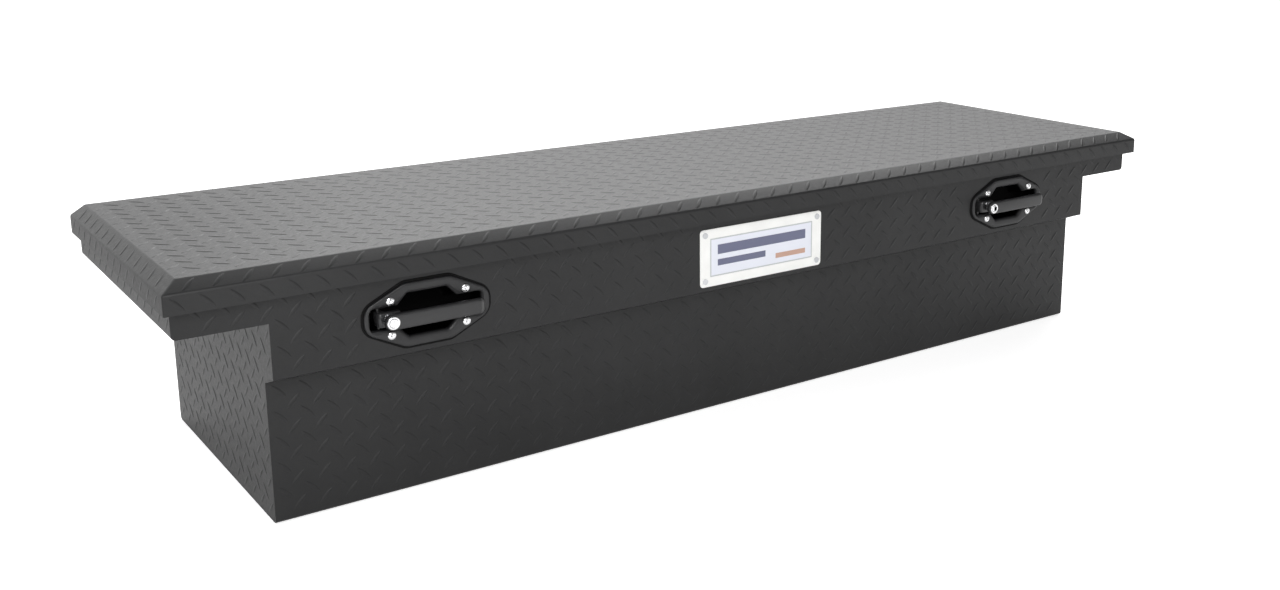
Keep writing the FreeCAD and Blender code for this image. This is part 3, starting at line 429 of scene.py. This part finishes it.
# a CAD node's finish goes by the ending of its name; the rest are zinc plated
FINISHES = {
    "tub_wrap": POWDER, "end_saddle": POWDER, "rim_frame": POWDER, "lid_skin": POWDER,
    "lid_inner_pan": POWDER, "lid_foam_core": FOAM, "weather_seal": RUBBER, "nameplate": PLATE,
    "hinge_body_leaf": HINGE_STEEL, "hinge_lid_leaf": HINGE_STEEL, "hinge_pin": HINGE_STEEL,
    "nameplate_rivets": ALUMINIUM, "hinge_body_rivets": ALUMINIUM, "hinge_lid_rivets": ALUMINIUM,
    "latch_gasket": RUBBER, "latch_dish": LATCH_BLACK, "latch_screws": CHROME, "_lever": LEVER_BLACK,
    "lever_pin": STRUT_BLACK, "lock_cylinder": CHROME, "key_plug": CHROME, "strut_tube": STRUT_BLACK,
    "strut_rod": CHROME,
}
for node_name, thing in NODES.items():
    chosen = next((kind for ending, kind in FINISHES.items() if node_name.endswith(ending)), ZINC)
    thing.data.materials.clear()
    thing.data.materials.append(chosen)

# ---------------------------------------------------------------- tread lugs
# pitch of the pattern, a column's place on the lid and a row's height up the front chamfer
PITCH = 34.8 * MM
FIRST_LUG_X = -856 * MM
CHAMFER_ROW = 9.5 * MM
LUG_HALF = 14.6 * MM
LUG_WIDE = 3.3 * MM
LUG_HIGH = 0.8 * MM
LUG_SUNK = 0.15 * MM
LUG_STATIONS = (-0.72, -0.4, 0.0, 0.4, 0.72)
LUG_ACROSS = (-1.0, -0.55, 0.0, 0.55, 1.0)
CROWN_POWER = 0.6

# room that a lug lying at 45 degrees needs to an edge, a fitting and a hole
LUG_REACH = LUG_HALF * math.sqrt(0.5)
EDGE_CLEAR = LUG_REACH + 0.8 * MM
FITTING_CLEAR = LUG_REACH + 1.0 * MM
HOLE_MARGIN = 10 * MM
FLOOR_BEND = 5 * MM
WING_BEND = 6 * MM

# how far, in pitches, the pattern starts in from an end sheet's corner
END_PHASE = (0.5, 0.5)


def lug_shape():
    """One lug about the origin: a pointed lens, domed, closed underneath."""
    verts = [(-LUG_HALF, 0, -LUG_SUNK)]
    for along in LUG_STATIONS:
        half = LUG_WIDE * (1 - along * along)
        crown = LUG_HIGH * (1 - along * along) ** CROWN_POWER
        for across in LUG_ACROSS:
            height = crown * (1 - across ** 2) - LUG_SUNK * across ** 2
            verts.append((along * LUG_HALF, half * across, height))
    verts.append((LUG_HALF, 0, -LUG_SUNK))
    wide = len(LUG_ACROSS)
    tip = len(verts) - 1
    last_row = 1 + (len(LUG_STATIONS) - 1) * wide
    faces = []
    for k in range(wide - 1):
        faces.append((1 + k, 1 + k + 1, 0))
        for s in range(len(LUG_STATIONS) - 1):
            a = 1 + s * wide + k
            faces.append((a + wide, a + 1 + wide, a + 1, a))
        faces.append((tip, last_row + k + 1, last_row + k))
    left = [1 + s * wide for s in range(len(LUG_STATIONS))]
    right = [a + wide - 1 for a in left]
    faces.append(tuple(right + [tip] + left[::-1] + [0]))
    return np.array(verts), faces


LUG_VERTS, LUG_FACES = lug_shape()


def panel_lugs(corner, along, up, length, height, phase, clear=lambda u, v: True):
    """Lugs over a flat panel: corner, two unit directions and its two sizes.  Normal is along x up."""
    corner, along, up = (np.array(vector, float) for vector in (corner, along, up))
    normal = np.cross(along, up)
    blocks = []
    for shift, lean in ((0.0, 1), (0.5, -1)):
        for i in range(-1, int(length / PITCH) + 2):
            for j in range(-1, int(height / PITCH) + 2):
                u = (i + shift + phase[0]) * PITCH
                v = (j + shift + phase[1]) * PITCH
                inside = EDGE_CLEAR < u < length - EDGE_CLEAR and EDGE_CLEAR < v < height - EDGE_CLEAR
                if not inside or not clear(u, v):
                    continue
                long_way = (along + lean * up) * math.sqrt(0.5)
                side_way = np.cross(normal, long_way)
                axes = np.stack([long_way, side_way, normal])
                blocks.append(corner + along * u + up * v + LUG_VERTS @ axes)
    return blocks


def add_tread(name, body, blocks):
    """All the lugs of one sheet as one piece."""
    step = len(LUG_VERTS)
    verts = np.concatenate(blocks)
    faces = [tuple(i + n * step for i in f) for n in range(len(blocks)) for f in LUG_FACES]
    add_piece(name, verts, faces, body, POWDER, smooth=70)


def centred(length):
    """Phase that puts the pattern symmetrically over a length."""
    return length / PITCH / 2 % 1.0


def lid_lugs():
    """Top, chamfers and skirts of the lid; the pattern runs on over the folds, as on plate rolled flat."""
    top_x = LID_HIGH.x - CHAMFER_RUN
    top_front = LID_LOW.y + CHAMFER_RUN
    depth = LID_HIGH.y - top_front
    skirt = SHOULDER_Z - LID_LOW.z
    lean_in, lean_up = CHAMFER_RUN / CHAMFER_SLOPE, CHAMFER_DROP / CHAMFER_SLOPE
    phase_x = (FIRST_LUG_X + top_x) / PITCH % 1
    phase_y = (CHAMFER_ROW - CHAMFER_SLOPE) / PITCH % 1
    chamfer_middle = CHAMFER_SLOPE / 2 / PITCH
    skirt_middle = skirt / 2 / PITCH
    blocks = panel_lugs(
        (-top_x, top_front, LID_HIGH.z), (1, 0, 0), (0, 1, 0), 2 * top_x, depth, (phase_x, phase_y),
    )
    blocks += panel_lugs(
        (-top_x, LID_LOW.y, SHOULDER_Z), (1, 0, 0), (0, lean_in, lean_up), 2 * top_x, CHAMFER_SLOPE,
        (phase_x, chamfer_middle),
    )
    for sign in (-1, 1):
        start = LID_HIGH.y if sign < 0 else top_front
        blocks += panel_lugs(
            (sign * LID_HIGH.x, start, SHOULDER_Z), (0, sign, 0), (-sign * lean_in, 0, lean_up), depth,
            CHAMFER_SLOPE, (phase_y, chamfer_middle + 0.5),
        )
        start = LID_HIGH.y if sign < 0 else LID_LOW.y
        blocks += panel_lugs(
            (sign * LID_HIGH.x, start, LID_LOW.z), (0, sign, 0), (0, 0, 1), LID_HIGH.y - LID_LOW.y, skirt,
            (phase_y, skirt_middle),
        )
    blocks += panel_lugs(
        (-LID_HIGH.x, LID_LOW.y, LID_LOW.z), (1, 0, 0), (0, 0, 1), 2 * LID_HIGH.x, skirt,
        ((FIRST_LUG_X + LID_HIGH.x) / PITCH % 1, skirt_middle + 0.5),
    )
    return blocks


def front_lugs():
    """Band, step and lower front; lugs keep off the plate and the latches."""
    covered = [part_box(name) for name in ("nameplate", "left_latch_gasket", "right_latch_gasket")]

    def near(value, low, high):
        return low - FITTING_CLEAR < value < high + FITTING_CLEAR

    def band_clear(u, v):
        x, z = u - WING_X, v + BAND_BOTTOM
        if abs(x) > TUB_X - FITTING_CLEAR and z < WING_UNDER + FITTING_CLEAR:
            return False
        return not any(near(x, low.x, high.x) and near(z, low.z, high.z) for low, high in covered)

    foot_y, foot_z = BAND_Y + STEP_RUN, BAND_BOTTOM - STEP_DROP
    blocks = panel_lugs(
        (-WING_X, BAND_Y, BAND_BOTTOM), (1, 0, 0), (0, 0, 1), 2 * WING_X, TUB_HIGH.z - BAND_BOTTOM,
        (centred(2 * WING_X), 0.5), band_clear,
    )
    blocks += panel_lugs(
        (-TUB_X, foot_y, foot_z), (1, 0, 0), (0, -STEP_RUN / STEP_SLOPE, STEP_DROP / STEP_SLOPE), 2 * TUB_X,
        STEP_SLOPE, (centred(2 * TUB_X), STEP_SLOPE / 2 / PITCH),
    )
    blocks += panel_lugs(
        (-TUB_X, foot_y, FLOOR_BEND), (1, 0, 0), (0, 0, 1), 2 * TUB_X, foot_z - FLOOR_BEND,
        (centred(2 * TUB_X), 0.5),
    )
    return blocks


def back_lugs():
    """Back up to the hinge, and floor."""
    def back_clear(u, v):
        x, z = WING_X - u, v + FLOOR_BEND
        return abs(x) < TUB_X - FITTING_CLEAR or z > WING_UNDER + FITTING_CLEAR

    blocks = panel_lugs(
        (WING_X, BACK_Y, FLOOR_BEND), (-1, 0, 0), (0, 0, 1), 2 * WING_X, LEAF_LOW.z - FLOOR_BEND,
        (centred(2 * WING_X), 0.5), back_clear,
    )
    blocks += panel_lugs(
        (-TUB_X, BACK_Y, 0), (1, 0, 0), (0, -1, 0), 2 * TUB_X, BACK_Y - BAND_Y - STEP_RUN,
        (centred(2 * TUB_X), 0.5),
    )
    return blocks


def end_lugs(sign):
    """End wall, wing end and wing floor of the left (-1) or right (1) end."""
    start = BACK_Y if sign < 0 else BAND_Y
    inner = TUB_X if sign > 0 else -WING_X
    holes = mount("rail_hook_holes")["dims"]
    hole_x, hole_y = holes["spacing_x_mm"] / 2 * MM, holes["spacing_y_mm"] / 2 * MM
    hole_clear = LUG_HALF + holes["hole_r_mm"] * MM + HOLE_MARGIN

    def end_clear(u, v):
        return start + u * sign > BAND_Y + STEP_RUN + FITTING_CLEAR or v > BAND_BOTTOM + FITTING_CLEAR

    def ledge_clear(u, v):
        x, y = inner + u, BACK_Y - v
        return all(math.hypot(x - sign * hole_x, y - row * hole_y) > hole_clear for row in (-1, 1))

    depth = BACK_Y - BAND_Y
    blocks = panel_lugs(
        (sign * TUB_X, start, 0), (0, sign, 0), (0, 0, 1), depth, WING_UNDER, END_PHASE, end_clear,
    )
    blocks += panel_lugs(
        (sign * WING_X, start, WING_UNDER), (0, sign, 0), (0, 0, 1), depth, TUB_HIGH.z - WING_UNDER,
        END_PHASE,
    )
    blocks += panel_lugs(
        (inner, BACK_Y, WING_UNDER), (1, 0, 0), (0, -1, 0), WING_X - TUB_X - WING_BEND, depth, END_PHASE,
        ledge_clear,
    )
    return blocks


add_tread("lid_tread", "lid", lid_lugs())
add_tread("shell_tread", "box", front_lugs() + back_lugs() + end_lugs(-1) + end_lugs(1))

# ---------------------------------------------------------------- folded lid
SKIRT_TOP_GAP = 6 * MM
SHOULDER_RADIUS, TOP_RADIUS = 5 * MM, 6 * MM
CORNER_RADIUS = 2.5 * MM
BEND_STEPS, CORNER_STEPS = 6, 4


def lid_section(offset):
    """The lid's folded edge as (inset, height) points: skirt, bend, chamfer, bend, moved in by offset."""
    upright, slanted, level = math.pi / 2, math.atan2(CHAMFER_DROP, CHAMFER_RUN), 0.0
    points = [(offset, LID_LOW.z), (offset, SHOULDER_Z - SKIRT_TOP_GAP)]
    # each bend is an arc between the directions before and after it
    for corner, before, after, radius in (
        ((0.0, SHOULDER_Z), upright, slanted, SHOULDER_RADIUS),
        ((CHAMFER_RUN, LID_HIGH.z), slanted, level, TOP_RADIUS),
    ):
        turn = before - after
        reach = radius * math.tan(turn / 2)
        start = (corner[0] - reach * math.cos(before), corner[1] - reach * math.sin(before))
        centre = (start[0] + radius * math.sin(before), start[1] - radius * math.cos(before))
        for k in range(BEND_STEPS + 1):
            angle = before - turn * k / BEND_STEPS
            tight = radius - offset
            points.append((centre[0] - tight * math.sin(angle), centre[1] + tight * math.cos(angle)))
    return points


def lid_ring(inset, height, back):
    """A rectangle round the lid at one height, its front corners slightly turned."""
    x_far = LID_HIGH.x - inset
    x_turn = x_far - CORNER_RADIUS
    y_turn = LID_LOW.y + inset + CORNER_RADIUS
    ring = []
    for sign, first in ((-1, math.pi), (1, 1.5 * math.pi)):
        for k in range(CORNER_STEPS + 1):
            angle = first + math.pi / 2 * k / CORNER_STEPS
            x = sign * x_turn + CORNER_RADIUS * math.cos(angle)
            ring.append((x, y_turn + CORNER_RADIUS * math.sin(angle), height))
    return ring + [(x_far, back, height), (-x_far, back, height)]


def build_lid_skin():
    """The lid's folded skin with real bends at the chamfer."""
    outer = [lid_ring(inset, height, LID_HIGH.y) for inset, height in lid_section(0.0)]
    inner = [lid_ring(inset, height, LID_HIGH.y - SHEET) for inset, height in lid_section(SHEET)]
    verts, faces = loft(list(reversed(inner)) + outer)
    piece = add_piece("lid_skin_folded", verts, faces, "lid", POWDER, smooth=32)
    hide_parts("lid_skin")


build_lid_skin()

# ---------------------------------------------------------------- latches
# All in millimetres: x and z are from the latch's middle, depth is from the band and negative to the front.
RING_POINTS = 200
FLANGE_X, FLANGE_Z, FLANGE_FLAT_X, FLANGE_FLAT_Z, FLANGE_RADIUS = 88.0, 43.2, 32.5, 16.5, 20.0
MOUTH_X, MOUTH_Z, MOUTH_FLAT, MOUTH_RADIUS, MOUTH_LEAST_RADIUS = 44.0, 31.5, 29.0, 6.0, 3.0
CHANNEL_LEFT, CHANNEL_RIGHT, CHANNEL_Z = 82.4, 79.6, 17.0
DISH_SEAT = -1.0
DISH_FACE = -4.5
LIP_GROW, LIP_START, LIP_RADIUS, LIP_STEPS = 2.4, DISH_FACE + 0.3, 5.0, 6

# shares of an outline's growth by which its flats grow
FLANGE_FLAT_SHARE, MOUTH_FLAT_SHARE = 0.3, 0.5

# profiles of (growth of the outline, depth)
GASKET_INSIDE = [(2.4, DISH_SEAT + 0.02), (2.4, -0.05)]
# the outside is grown past the seal's own margin, so the black rubber also serves as a painted shadow round
# the flange
GASKET_OUTSIDE = [(3.3, -0.05), (3.3, -0.9), (2.8, -1.3), (0.5, -1.3), (-1.0, DISH_SEAT + 0.02)]
DISH_REAR = [
    (-10.0, 29.6), (-6.6, 29.0), (-3.8, 26.0), (-2.2, 20.0), (-1.0, 9.0), (0.2, 0.9), (3.6, DISH_SEAT),
]
DISH_FLANGE = [(0.0, DISH_SEAT), (0.0, -2.8), (-0.4, -3.9), (-1.4, DISH_FACE), (-5.0, DISH_FACE - 0.1)]
DISH_HOLLOW = [(-3.2, 12.0), (-4.2, 20.0), (-5.4, 24.6), (-8.0, 27.2), (-11.0, 27.9)]

# the bar's front edges as (depth, trim all round, trim at the free end)
BAR_HALF, BAR_RIGHT, BAR_END_X, NOSE_RADIUS, BAR_STEPS = 10.9, 71.6, -57.0, 7.0, 16
BAR_LEVELS = [
    (-17.9, 2.4, 2.4), (-18.4, 1.1, 1.1), (-19.6, 0.2, 0.2), (-21.4, 0.0, 0.0),
    (-23.4, 0.15, 0.7), (-24.8, 0.7, 2.0), (-25.7, 1.7, 3.8), (-26.0, 3.0, 5.6),
]
PIVOT_X, PIVOT_Y, BARREL_RADIUS = -66.5, 5.0, 5.2
ARM_FRONT, ARM_BACK, ARM_HALF, ARM_RADIUS, ARM_EDGE = -9.6, -2.4, 9.4, 4.8, 0.8
ARM_NOSE_X, ARM_NOSE_Y, ARM_HEEL = 2.0, 5.0, 1.5
POST_LEFT, POST_RIGHT, POST_HALF, POST_RADIUS, POST_EDGE = -47.0, -40.5, 7.0, 0.8, 0.5
POST_FRONT, POST_BACK = -19.0, ARM_FRONT + 1.0

# profiles of (radius, depth); the rivet's depth is from the arm's front
RIVET_X, RIVET_Z = -60.0, 6.2
RIVET = [(1.4, 4.0), (1.4, 0.2), (2.3, 0.1), (2.3, -0.3), (2.0, -1.0), (1.3, -1.5), (0.5, -1.7)]
SCREW_X, SCREW_Z = 52.8, 23.1
SCREW_SHANK = [(1.6, 5.6), (2.0, 5.0), (2.0, -2.4)]
SCREW_HEAD = [(5.0, -2.5), (6.0, -2.5), (6.0, -5.4), (5.7, -6.4), (4.9, -7.1), (3.6, -7.5), (2.2, -7.7)]
SCREW_RECESS = [(2.0, -7.1), (0.5, -5.5)]
DISC_POINTS, LOBE_POINTS, RECESS_WAIST = 32, 8, 0.45
SHUTTER_X, SHUTTER_Z, SHUTTER_RADIUS = 0.85, 3.9, 0.3
SHUTTER_FRONT, SHUTTER_REAR = 1.1, 2.0


def flange_outline(grow):
    """Rounded outline of the dish's eight-sided flange."""
    half_x, half_z = FLANGE_X + grow, FLANGE_Z + grow
    flat_x, flat_z = FLANGE_FLAT_X + grow * FLANGE_FLAT_SHARE, FLANGE_FLAT_Z + grow * FLANGE_FLAT_SHARE
    corners = [
        (half_x, flat_z), (flat_x, half_z), (-flat_x, half_z), (-half_x, flat_z),
        (-half_x, -flat_z), (-flat_x, -half_z), (flat_x, -half_z), (half_x, -flat_z),
    ]
    return rounded(corners, FLANGE_RADIUS + grow, 8)


def mouth_outline(grow):
    """Rounded outline of the hollow: a deep middle with a channel for the lever."""
    half_x, half_z, flat = MOUTH_X + grow, MOUTH_Z + grow, MOUTH_FLAT + grow * MOUTH_FLAT_SHARE
    left, right, slim = CHANNEL_LEFT + grow, CHANNEL_RIGHT + grow, CHANNEL_Z + grow
    corners = [
        (right, slim), (half_x, slim), (flat, half_z), (-flat, half_z),
        (-half_x, slim), (-left, slim), (-left, -slim), (-half_x, -slim),
        (-flat, -half_z), (flat, -half_z), (half_x, -slim), (right, -slim),
    ]
    return rounded(corners, max(MOUTH_RADIUS + grow, MOUTH_LEAST_RADIUS), 5)


def at_angles(outline, angles):
    """Points where rays from the centre at the angles cross an outline."""
    points = np.array(outline)
    ends = np.roll(points, -1, axis=0)
    result = []
    for angle in angles:
        ray = np.array((math.cos(angle), math.sin(angle)))
        side = np.array((-ray[1], ray[0]))
        a, b = points @ side, ends @ side
        crossing = (a <= 0) & (b > 0)
        share = (-a / np.where(b - a == 0, 1, b - a))[:, None]
        spots = points + (ends - points) * share
        forward = [spots[i] for i in np.nonzero(crossing)[0] if spots[i] @ ray > 0]
        result.append(max(forward, key=lambda s: s @ ray))
    return result


def outline_angles(outline, count):
    """Angles of evenly spread points along an outline."""
    points = np.array(outline + outline[:1])
    steps = np.hypot(*np.diff(points, axis=0).T)
    total = np.concatenate([[0], np.cumsum(steps)])
    places = np.linspace(0, total[-1], count, endpoint=False)
    x = np.interp(places, total, points[:, 0])
    z = np.interp(places, total, points[:, 1])
    return sorted(math.atan2(b, a) for a, b in zip(x, z))


def on_latch(centre, x, depth, z):
    """A point given in a latch's own millimetres, in metres in the frame."""
    return (centre.x + x * MM, centre.y + depth * MM, centre.z + z * MM)


def latch_rings(centre, outline, profile):
    """An outline, grown and set at each depth of a profile, as rings of matching points."""
    angles = outline_angles(mouth_outline(0.0), RING_POINTS)
    return [
        [on_latch(centre, x, depth, z) for x, z in at_angles(outline(grow), angles)]
        for grow, depth in profile
    ]


def disc_rings(centre, x, z, profile, cross=False):
    """Circles that face the front, one for each (radius, depth); cross gives them four lobes."""
    rings = []
    for radius, depth in profile:
        ring = []
        for k in range(DISC_POINTS):
            angle = 2 * math.pi * k / DISC_POINTS
            on_lobe = k % LOBE_POINTS in (0, 1, LOBE_POINTS - 1)
            reach = radius * (RECESS_WAIST if cross and not on_lobe else 1.0)
            ring.append(on_latch(centre, x + reach * math.cos(angle), depth, z + reach * math.sin(angle)))
        rings.append(ring)
    return rings


def build_gasket(side, centre):
    """Rubber gasket, grown wider than the seal itself, so its dark line round the dish's flange is also a
    painted shadow.
    """
    inside = latch_rings(centre, mouth_outline, GASKET_INSIDE)
    outside = latch_rings(centre, flange_outline, GASKET_OUTSIDE)
    verts, faces = loft(inside + outside, wrap=True)
    piece = add_piece(side + "_gasket_moulded", verts, faces, "box", RUBBER, smooth=40)
    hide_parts(side + "_latch_gasket")


def build_dish(side, centre):
    """Pressed dish: flange with a rolled edge, mouth with a round lip, drafted walls and a floor."""
    lip = []
    for k in range(LIP_STEPS + 1):
        angle = math.pi / 2 * k / LIP_STEPS
        grow = LIP_GROW - LIP_RADIUS * math.sin(angle)
        lip.append((grow, LIP_START + LIP_RADIUS * (1 - math.cos(angle))))
    rings = latch_rings(centre, mouth_outline, DISH_REAR)
    rings += latch_rings(centre, flange_outline, DISH_FLANGE)
    rings += latch_rings(centre, mouth_outline, lip + DISH_HOLLOW)
    verts, faces = loft(rings)
    piece = add_piece(side + "_dish_pressed", verts, faces, "box", LATCH_BLACK, smooth=60)
    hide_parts(side + "_latch_dish")


def bar_outline(trim, nose_trim):
    """Outline of the lever's bar in (x, z): round about the lock, blunt at the free end."""
    half, nose_x = BAR_HALF - trim, BAR_RIGHT - nose_trim - NOSE_RADIUS
    points = []
    for x, z, radius, first, last in (
        (nose_x, NOSE_RADIUS - half, NOSE_RADIUS, -90, 0),
        (nose_x, half - NOSE_RADIUS, NOSE_RADIUS, 0, 90),
        (BAR_END_X, 0.0, half, 90, 270),
    ):
        for k in range(BAR_STEPS + 1):
            angle = math.radians(first + (last - first) * k / BAR_STEPS)
            points.append((x + radius * math.cos(angle), z + radius * math.sin(angle)))
    return points


def build_lever(side, centre):
    """Lever's bar: its front edges are rounded, most of all at the free end."""
    rings = [
        [on_latch(centre, x, depth, z) for x, z in bar_outline(trim, nose_trim)]
        for depth, trim, nose_trim in BAR_LEVELS
    ]
    verts, faces = loft(rings)
    body = side + "_lever_assembly"
    piece = add_piece(side + "_lever_bar", verts, faces, body, LEVER_BLACK, smooth=50)
    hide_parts(side + "_lever")


def add_upright(name, side, centre, plan, half, edge):
    """A block on the lever: a plan outline in (x, depth), standing evenly about the latch's middle."""
    middle = Vector((sum(p[0] for p in plan) / len(plan), sum(p[1] for p in plan) / len(plan)))
    rings = []
    for level, inset in ((-half, edge), (edge - half, 0.0), (half - edge, 0.0), (half, edge)):
        ring = []
        for x, depth in plan:
            inward = (middle - Vector((x, depth))).normalized() * inset
            ring.append(on_latch(centre, x + inward.x, depth + inward.y, level))
        rings.append(ring)
    verts, faces = loft(rings)
    add_piece(side + name, verts, faces, side + "_lever_assembly", LEVER_BLACK, smooth=50)


def build_lever_arm(side, centre):
    """Arm behind the bar that curls into the pivot's barrel, the post between them, and a domed rivet."""
    left, right = PIVOT_X - BARREL_RADIUS, PIVOT_X + BARREL_RADIUS
    rear = PIVOT_Y + BARREL_RADIUS
    plan = [
        (POST_RIGHT, ARM_BACK), (POST_RIGHT, ARM_FRONT), (left + ARM_NOSE_X, ARM_FRONT),
        (left, ARM_FRONT + ARM_NOSE_Y), (left, rear), (right, rear), (right, ARM_BACK + ARM_HEEL),
    ]
    add_upright("_lever_arm", side, centre, rounded(plan, ARM_RADIUS, 5), ARM_HALF, ARM_EDGE)
    post = [
        (POST_LEFT, POST_BACK), (POST_LEFT, POST_FRONT), (POST_RIGHT, POST_FRONT), (POST_RIGHT, POST_BACK),
    ]
    add_upright("_lever_post", side, centre, rounded(post, POST_RADIUS, 2), POST_HALF, POST_EDGE)
    profile = [(radius, ARM_FRONT + depth) for radius, depth in RIVET]
    verts, faces = loft(disc_rings(centre, RIVET_X, RIVET_Z, profile))
    add_piece(side + "_lever_rivet", verts, faces, side + "_lever_assembly", CHROME, smooth=45)


def build_shutter(side):
    """Sprung dust shutter just inside the keyway."""
    low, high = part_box(side + "_key_plug")
    x, z = (low.x + high.x) / 2, (low.z + high.z) / 2
    left, right = x - SHUTTER_X * MM, x + SHUTTER_X * MM
    bottom, top = z - SHUTTER_Z * MM, z + SHUTTER_Z * MM
    outline = rounded([(left, bottom), (right, bottom), (right, top), (left, top)], SHUTTER_RADIUS * MM, 3)
    depths = (low.y + SHUTTER_REAR * MM, low.y + SHUTTER_FRONT * MM)
    verts, faces = loft([[(a, y, b) for a, b in outline] for y in depths])
    body = side + "_key_plug_assembly"
    add_piece(side + "_keyway_shutter", verts, faces, body, CHROME, smooth=40)


def build_screws(centres):
    """Domed chrome screws with a cross recess, and their shanks."""
    verts, faces = [], []
    for centre in centres:
        for x, z in ((i * SCREW_X, j * SCREW_Z) for i in (-1, 1) for j in (-1, 1)):
            rings = disc_rings(centre, x, z, SCREW_SHANK + SCREW_HEAD)
            rings += disc_rings(centre, x, z, SCREW_RECESS, cross=True)
            new_verts, new_faces = loft(rings)
            faces += [tuple(k + len(verts) for k in face) for face in new_faces]
            verts += new_verts
    piece = add_piece("latch_screw_heads", verts, faces, "box", CHROME, smooth=45)
    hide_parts("latch_screws")


for side in SIDES:
    build_gasket(side, latch_middle(side))
    build_dish(side, latch_middle(side))
    build_lever(side, latch_middle(side))
    build_lever_arm(side, latch_middle(side))
    build_shutter(side)
build_screws([latch_middle(side) for side in SIDES])

# widths in millimetres by which crisp edges of CAD nodes are rounded
EDGE_WIDTHS = {
    "tub_wrap": 0.5, "end_saddle": 0.5, "rim_frame": 0.4, "nameplate": 0.4, "lock_cylinder": 1.0,
    "key_plug": 0.5, "striker": 0.4, "latch_housing": 0.4, "fork": 0.4,
}
for node_name in NODES:
    for ending, width in EDGE_WIDTHS.items():
        if node_name.endswith(ending):
            soften(node_name, width * MM)

# ---------------------------------------------------------------- studio
# brightness of the room round the object, as (position from the front to the back, share of the strength)
ROOM = [(0.30, 0.16), (0.55, 0.13), (0.85, 1.0)]
ROOM_STRENGTH = 1.55
FLOOR_GLOW = 0.18
FLOOR_BACKDROP = 0.45
FLOOR_HALF = 14.0
FLOOR_GAP = 1.2 * MM

# each light: place, what it looks at, its two sizes in metres and its power in watts
OVERHEAD = ((1.2, 1.2, 2.1), (0.3, 0, 0.3), (3.4, 1.4), 54.0)
FRONT_KEY = ((-1.6, -2.9, 2.0), (0, 0, 0.2), (2.4, 1.6), 74.0)

CAMERA_PLACE = (-1.2469, -1.8501, 0.7953)
CAMERA_AZIMUTH, CAMERA_DROP, CAMERA_ROLL = math.radians(36.70), math.radians(12.71), math.radians(0.196)
CAMERA_LENS = 37.98
CAMERA_SHIFT = (-0.0781, -0.0742)
SENSOR_WIDTH = 36.0
NEAR_CLIP, FAR_CLIP = 0.05, 60.0


def add_area(name, place, target, size, power):
    """A soft rectangular light aimed at a point."""
    light = bpy.data.lights.new(name, "AREA")
    light.shape = "RECTANGLE"
    light.size, light.size_y = size
    light.energy = power
    lamp = bpy.data.objects.new(name, light)
    lamp.location = place
    lamp.rotation_euler = (Vector(target) - Vector(place)).to_track_quat("-Z", "Y").to_euler()
    bpy.context.scene.collection.objects.link(lamp)


def build_world():
    """White backdrop to the camera; to the object a bright wall behind it and a softer room in front."""
    world = bpy.data.worlds.new("studio")
    bpy.context.scene.world = world
    world.use_nodes = True
    tree = world.node_tree
    tree.nodes.clear()
    out = tree.nodes.new("ShaderNodeOutputWorld")
    seen = tree.nodes.new("ShaderNodeBackground")
    seen.inputs["Color"].default_value = (1, 1, 1, 1)
    felt = tree.nodes.new("ShaderNodeBackground")
    depth = fade(tree, coordinates(tree, "Generated")["Y"], -1.0, 1.0)
    tree.links.new(ramp(tree, depth, ROOM), felt.inputs["Color"])
    felt.inputs["Strength"].default_value = ROOM_STRENGTH
    path = tree.nodes.new("ShaderNodeLightPath")
    mix = tree.nodes.new("ShaderNodeMixShader")
    tree.links.new(path.outputs["Is Camera Ray"], mix.inputs["Fac"])
    tree.links.new(felt.outputs["Background"], mix.inputs[1])
    tree.links.new(seen.outputs["Background"], mix.inputs[2])
    tree.links.new(mix.outputs["Shader"], out.inputs["Surface"])


def build_floor():
    """Pale floor just under the tub's lugs; it glows a little, and more to the camera."""
    material, tree, shader = new_material("pale_floor")
    drift = noise(tree, 2.0, 2.0)
    tree.links.new(ramp(tree, drift, [(LOW_STOP, 0.90), (HIGH_STOP, 0.93)]), shader.inputs["Base Color"])
    shader.inputs["Roughness"].default_value = 0.9
    shader.inputs["Emission Color"].default_value = (1, 1, 1, 1)
    path = tree.nodes.new("ShaderNodeLightPath")
    backdrop = maths(tree, "MULTIPLY", path.outputs["Is Camera Ray"], FLOOR_BACKDROP)
    tree.links.new(maths(tree, "ADD", backdrop, FLOOR_GLOW), shader.inputs["Emission Strength"])
    level = TUB_LOW.z - FLOOR_GAP
    corners = [(i * FLOOR_HALF, j * FLOOR_HALF, level) for i, j in ((-1, -1), (1, -1), (1, 1), (-1, 1))]
    mesh = bpy.data.meshes.new("floor")
    mesh.from_pydata(corners, [], [(0, 1, 2, 3)])
    mesh.materials.append(material)
    floor = bpy.data.objects.new("floor", mesh)
    bpy.context.scene.collection.objects.link(floor)


def build_camera():
    """Standing to the front left, looking slightly down along the box."""
    ahead = Vector((math.sin(CAMERA_AZIMUTH), math.cos(CAMERA_AZIMUTH), 0))
    look = ahead * math.cos(CAMERA_DROP) - Vector((0, 0, math.sin(CAMERA_DROP)))
    right = Vector((ahead.y, -ahead.x, 0))
    up = right.cross(look)
    turned_right = right * math.cos(CAMERA_ROLL) + up * math.sin(CAMERA_ROLL)
    turned_up = up * math.cos(CAMERA_ROLL) - right * math.sin(CAMERA_ROLL)
    data = bpy.data.cameras.new("camera")
    data.sensor_width = SENSOR_WIDTH
    data.lens = CAMERA_LENS
    data.shift_x, data.shift_y = CAMERA_SHIFT
    data.clip_start, data.clip_end = NEAR_CLIP, FAR_CLIP
    camera = bpy.data.objects.new("camera", data)
    columns = Matrix((turned_right, turned_up, -look)).transposed()
    camera.matrix_world = Matrix.Translation(Vector(CAMERA_PLACE)) @ columns.to_4x4()
    bpy.context.scene.collection.objects.link(camera)
    bpy.context.scene.camera = camera


build_world()
build_floor()
add_area("overhead", *OVERHEAD)
add_area("front_key", *FRONT_KEY)
build_camera()
bpy.context.scene.view_settings.view_transform = "Standard"
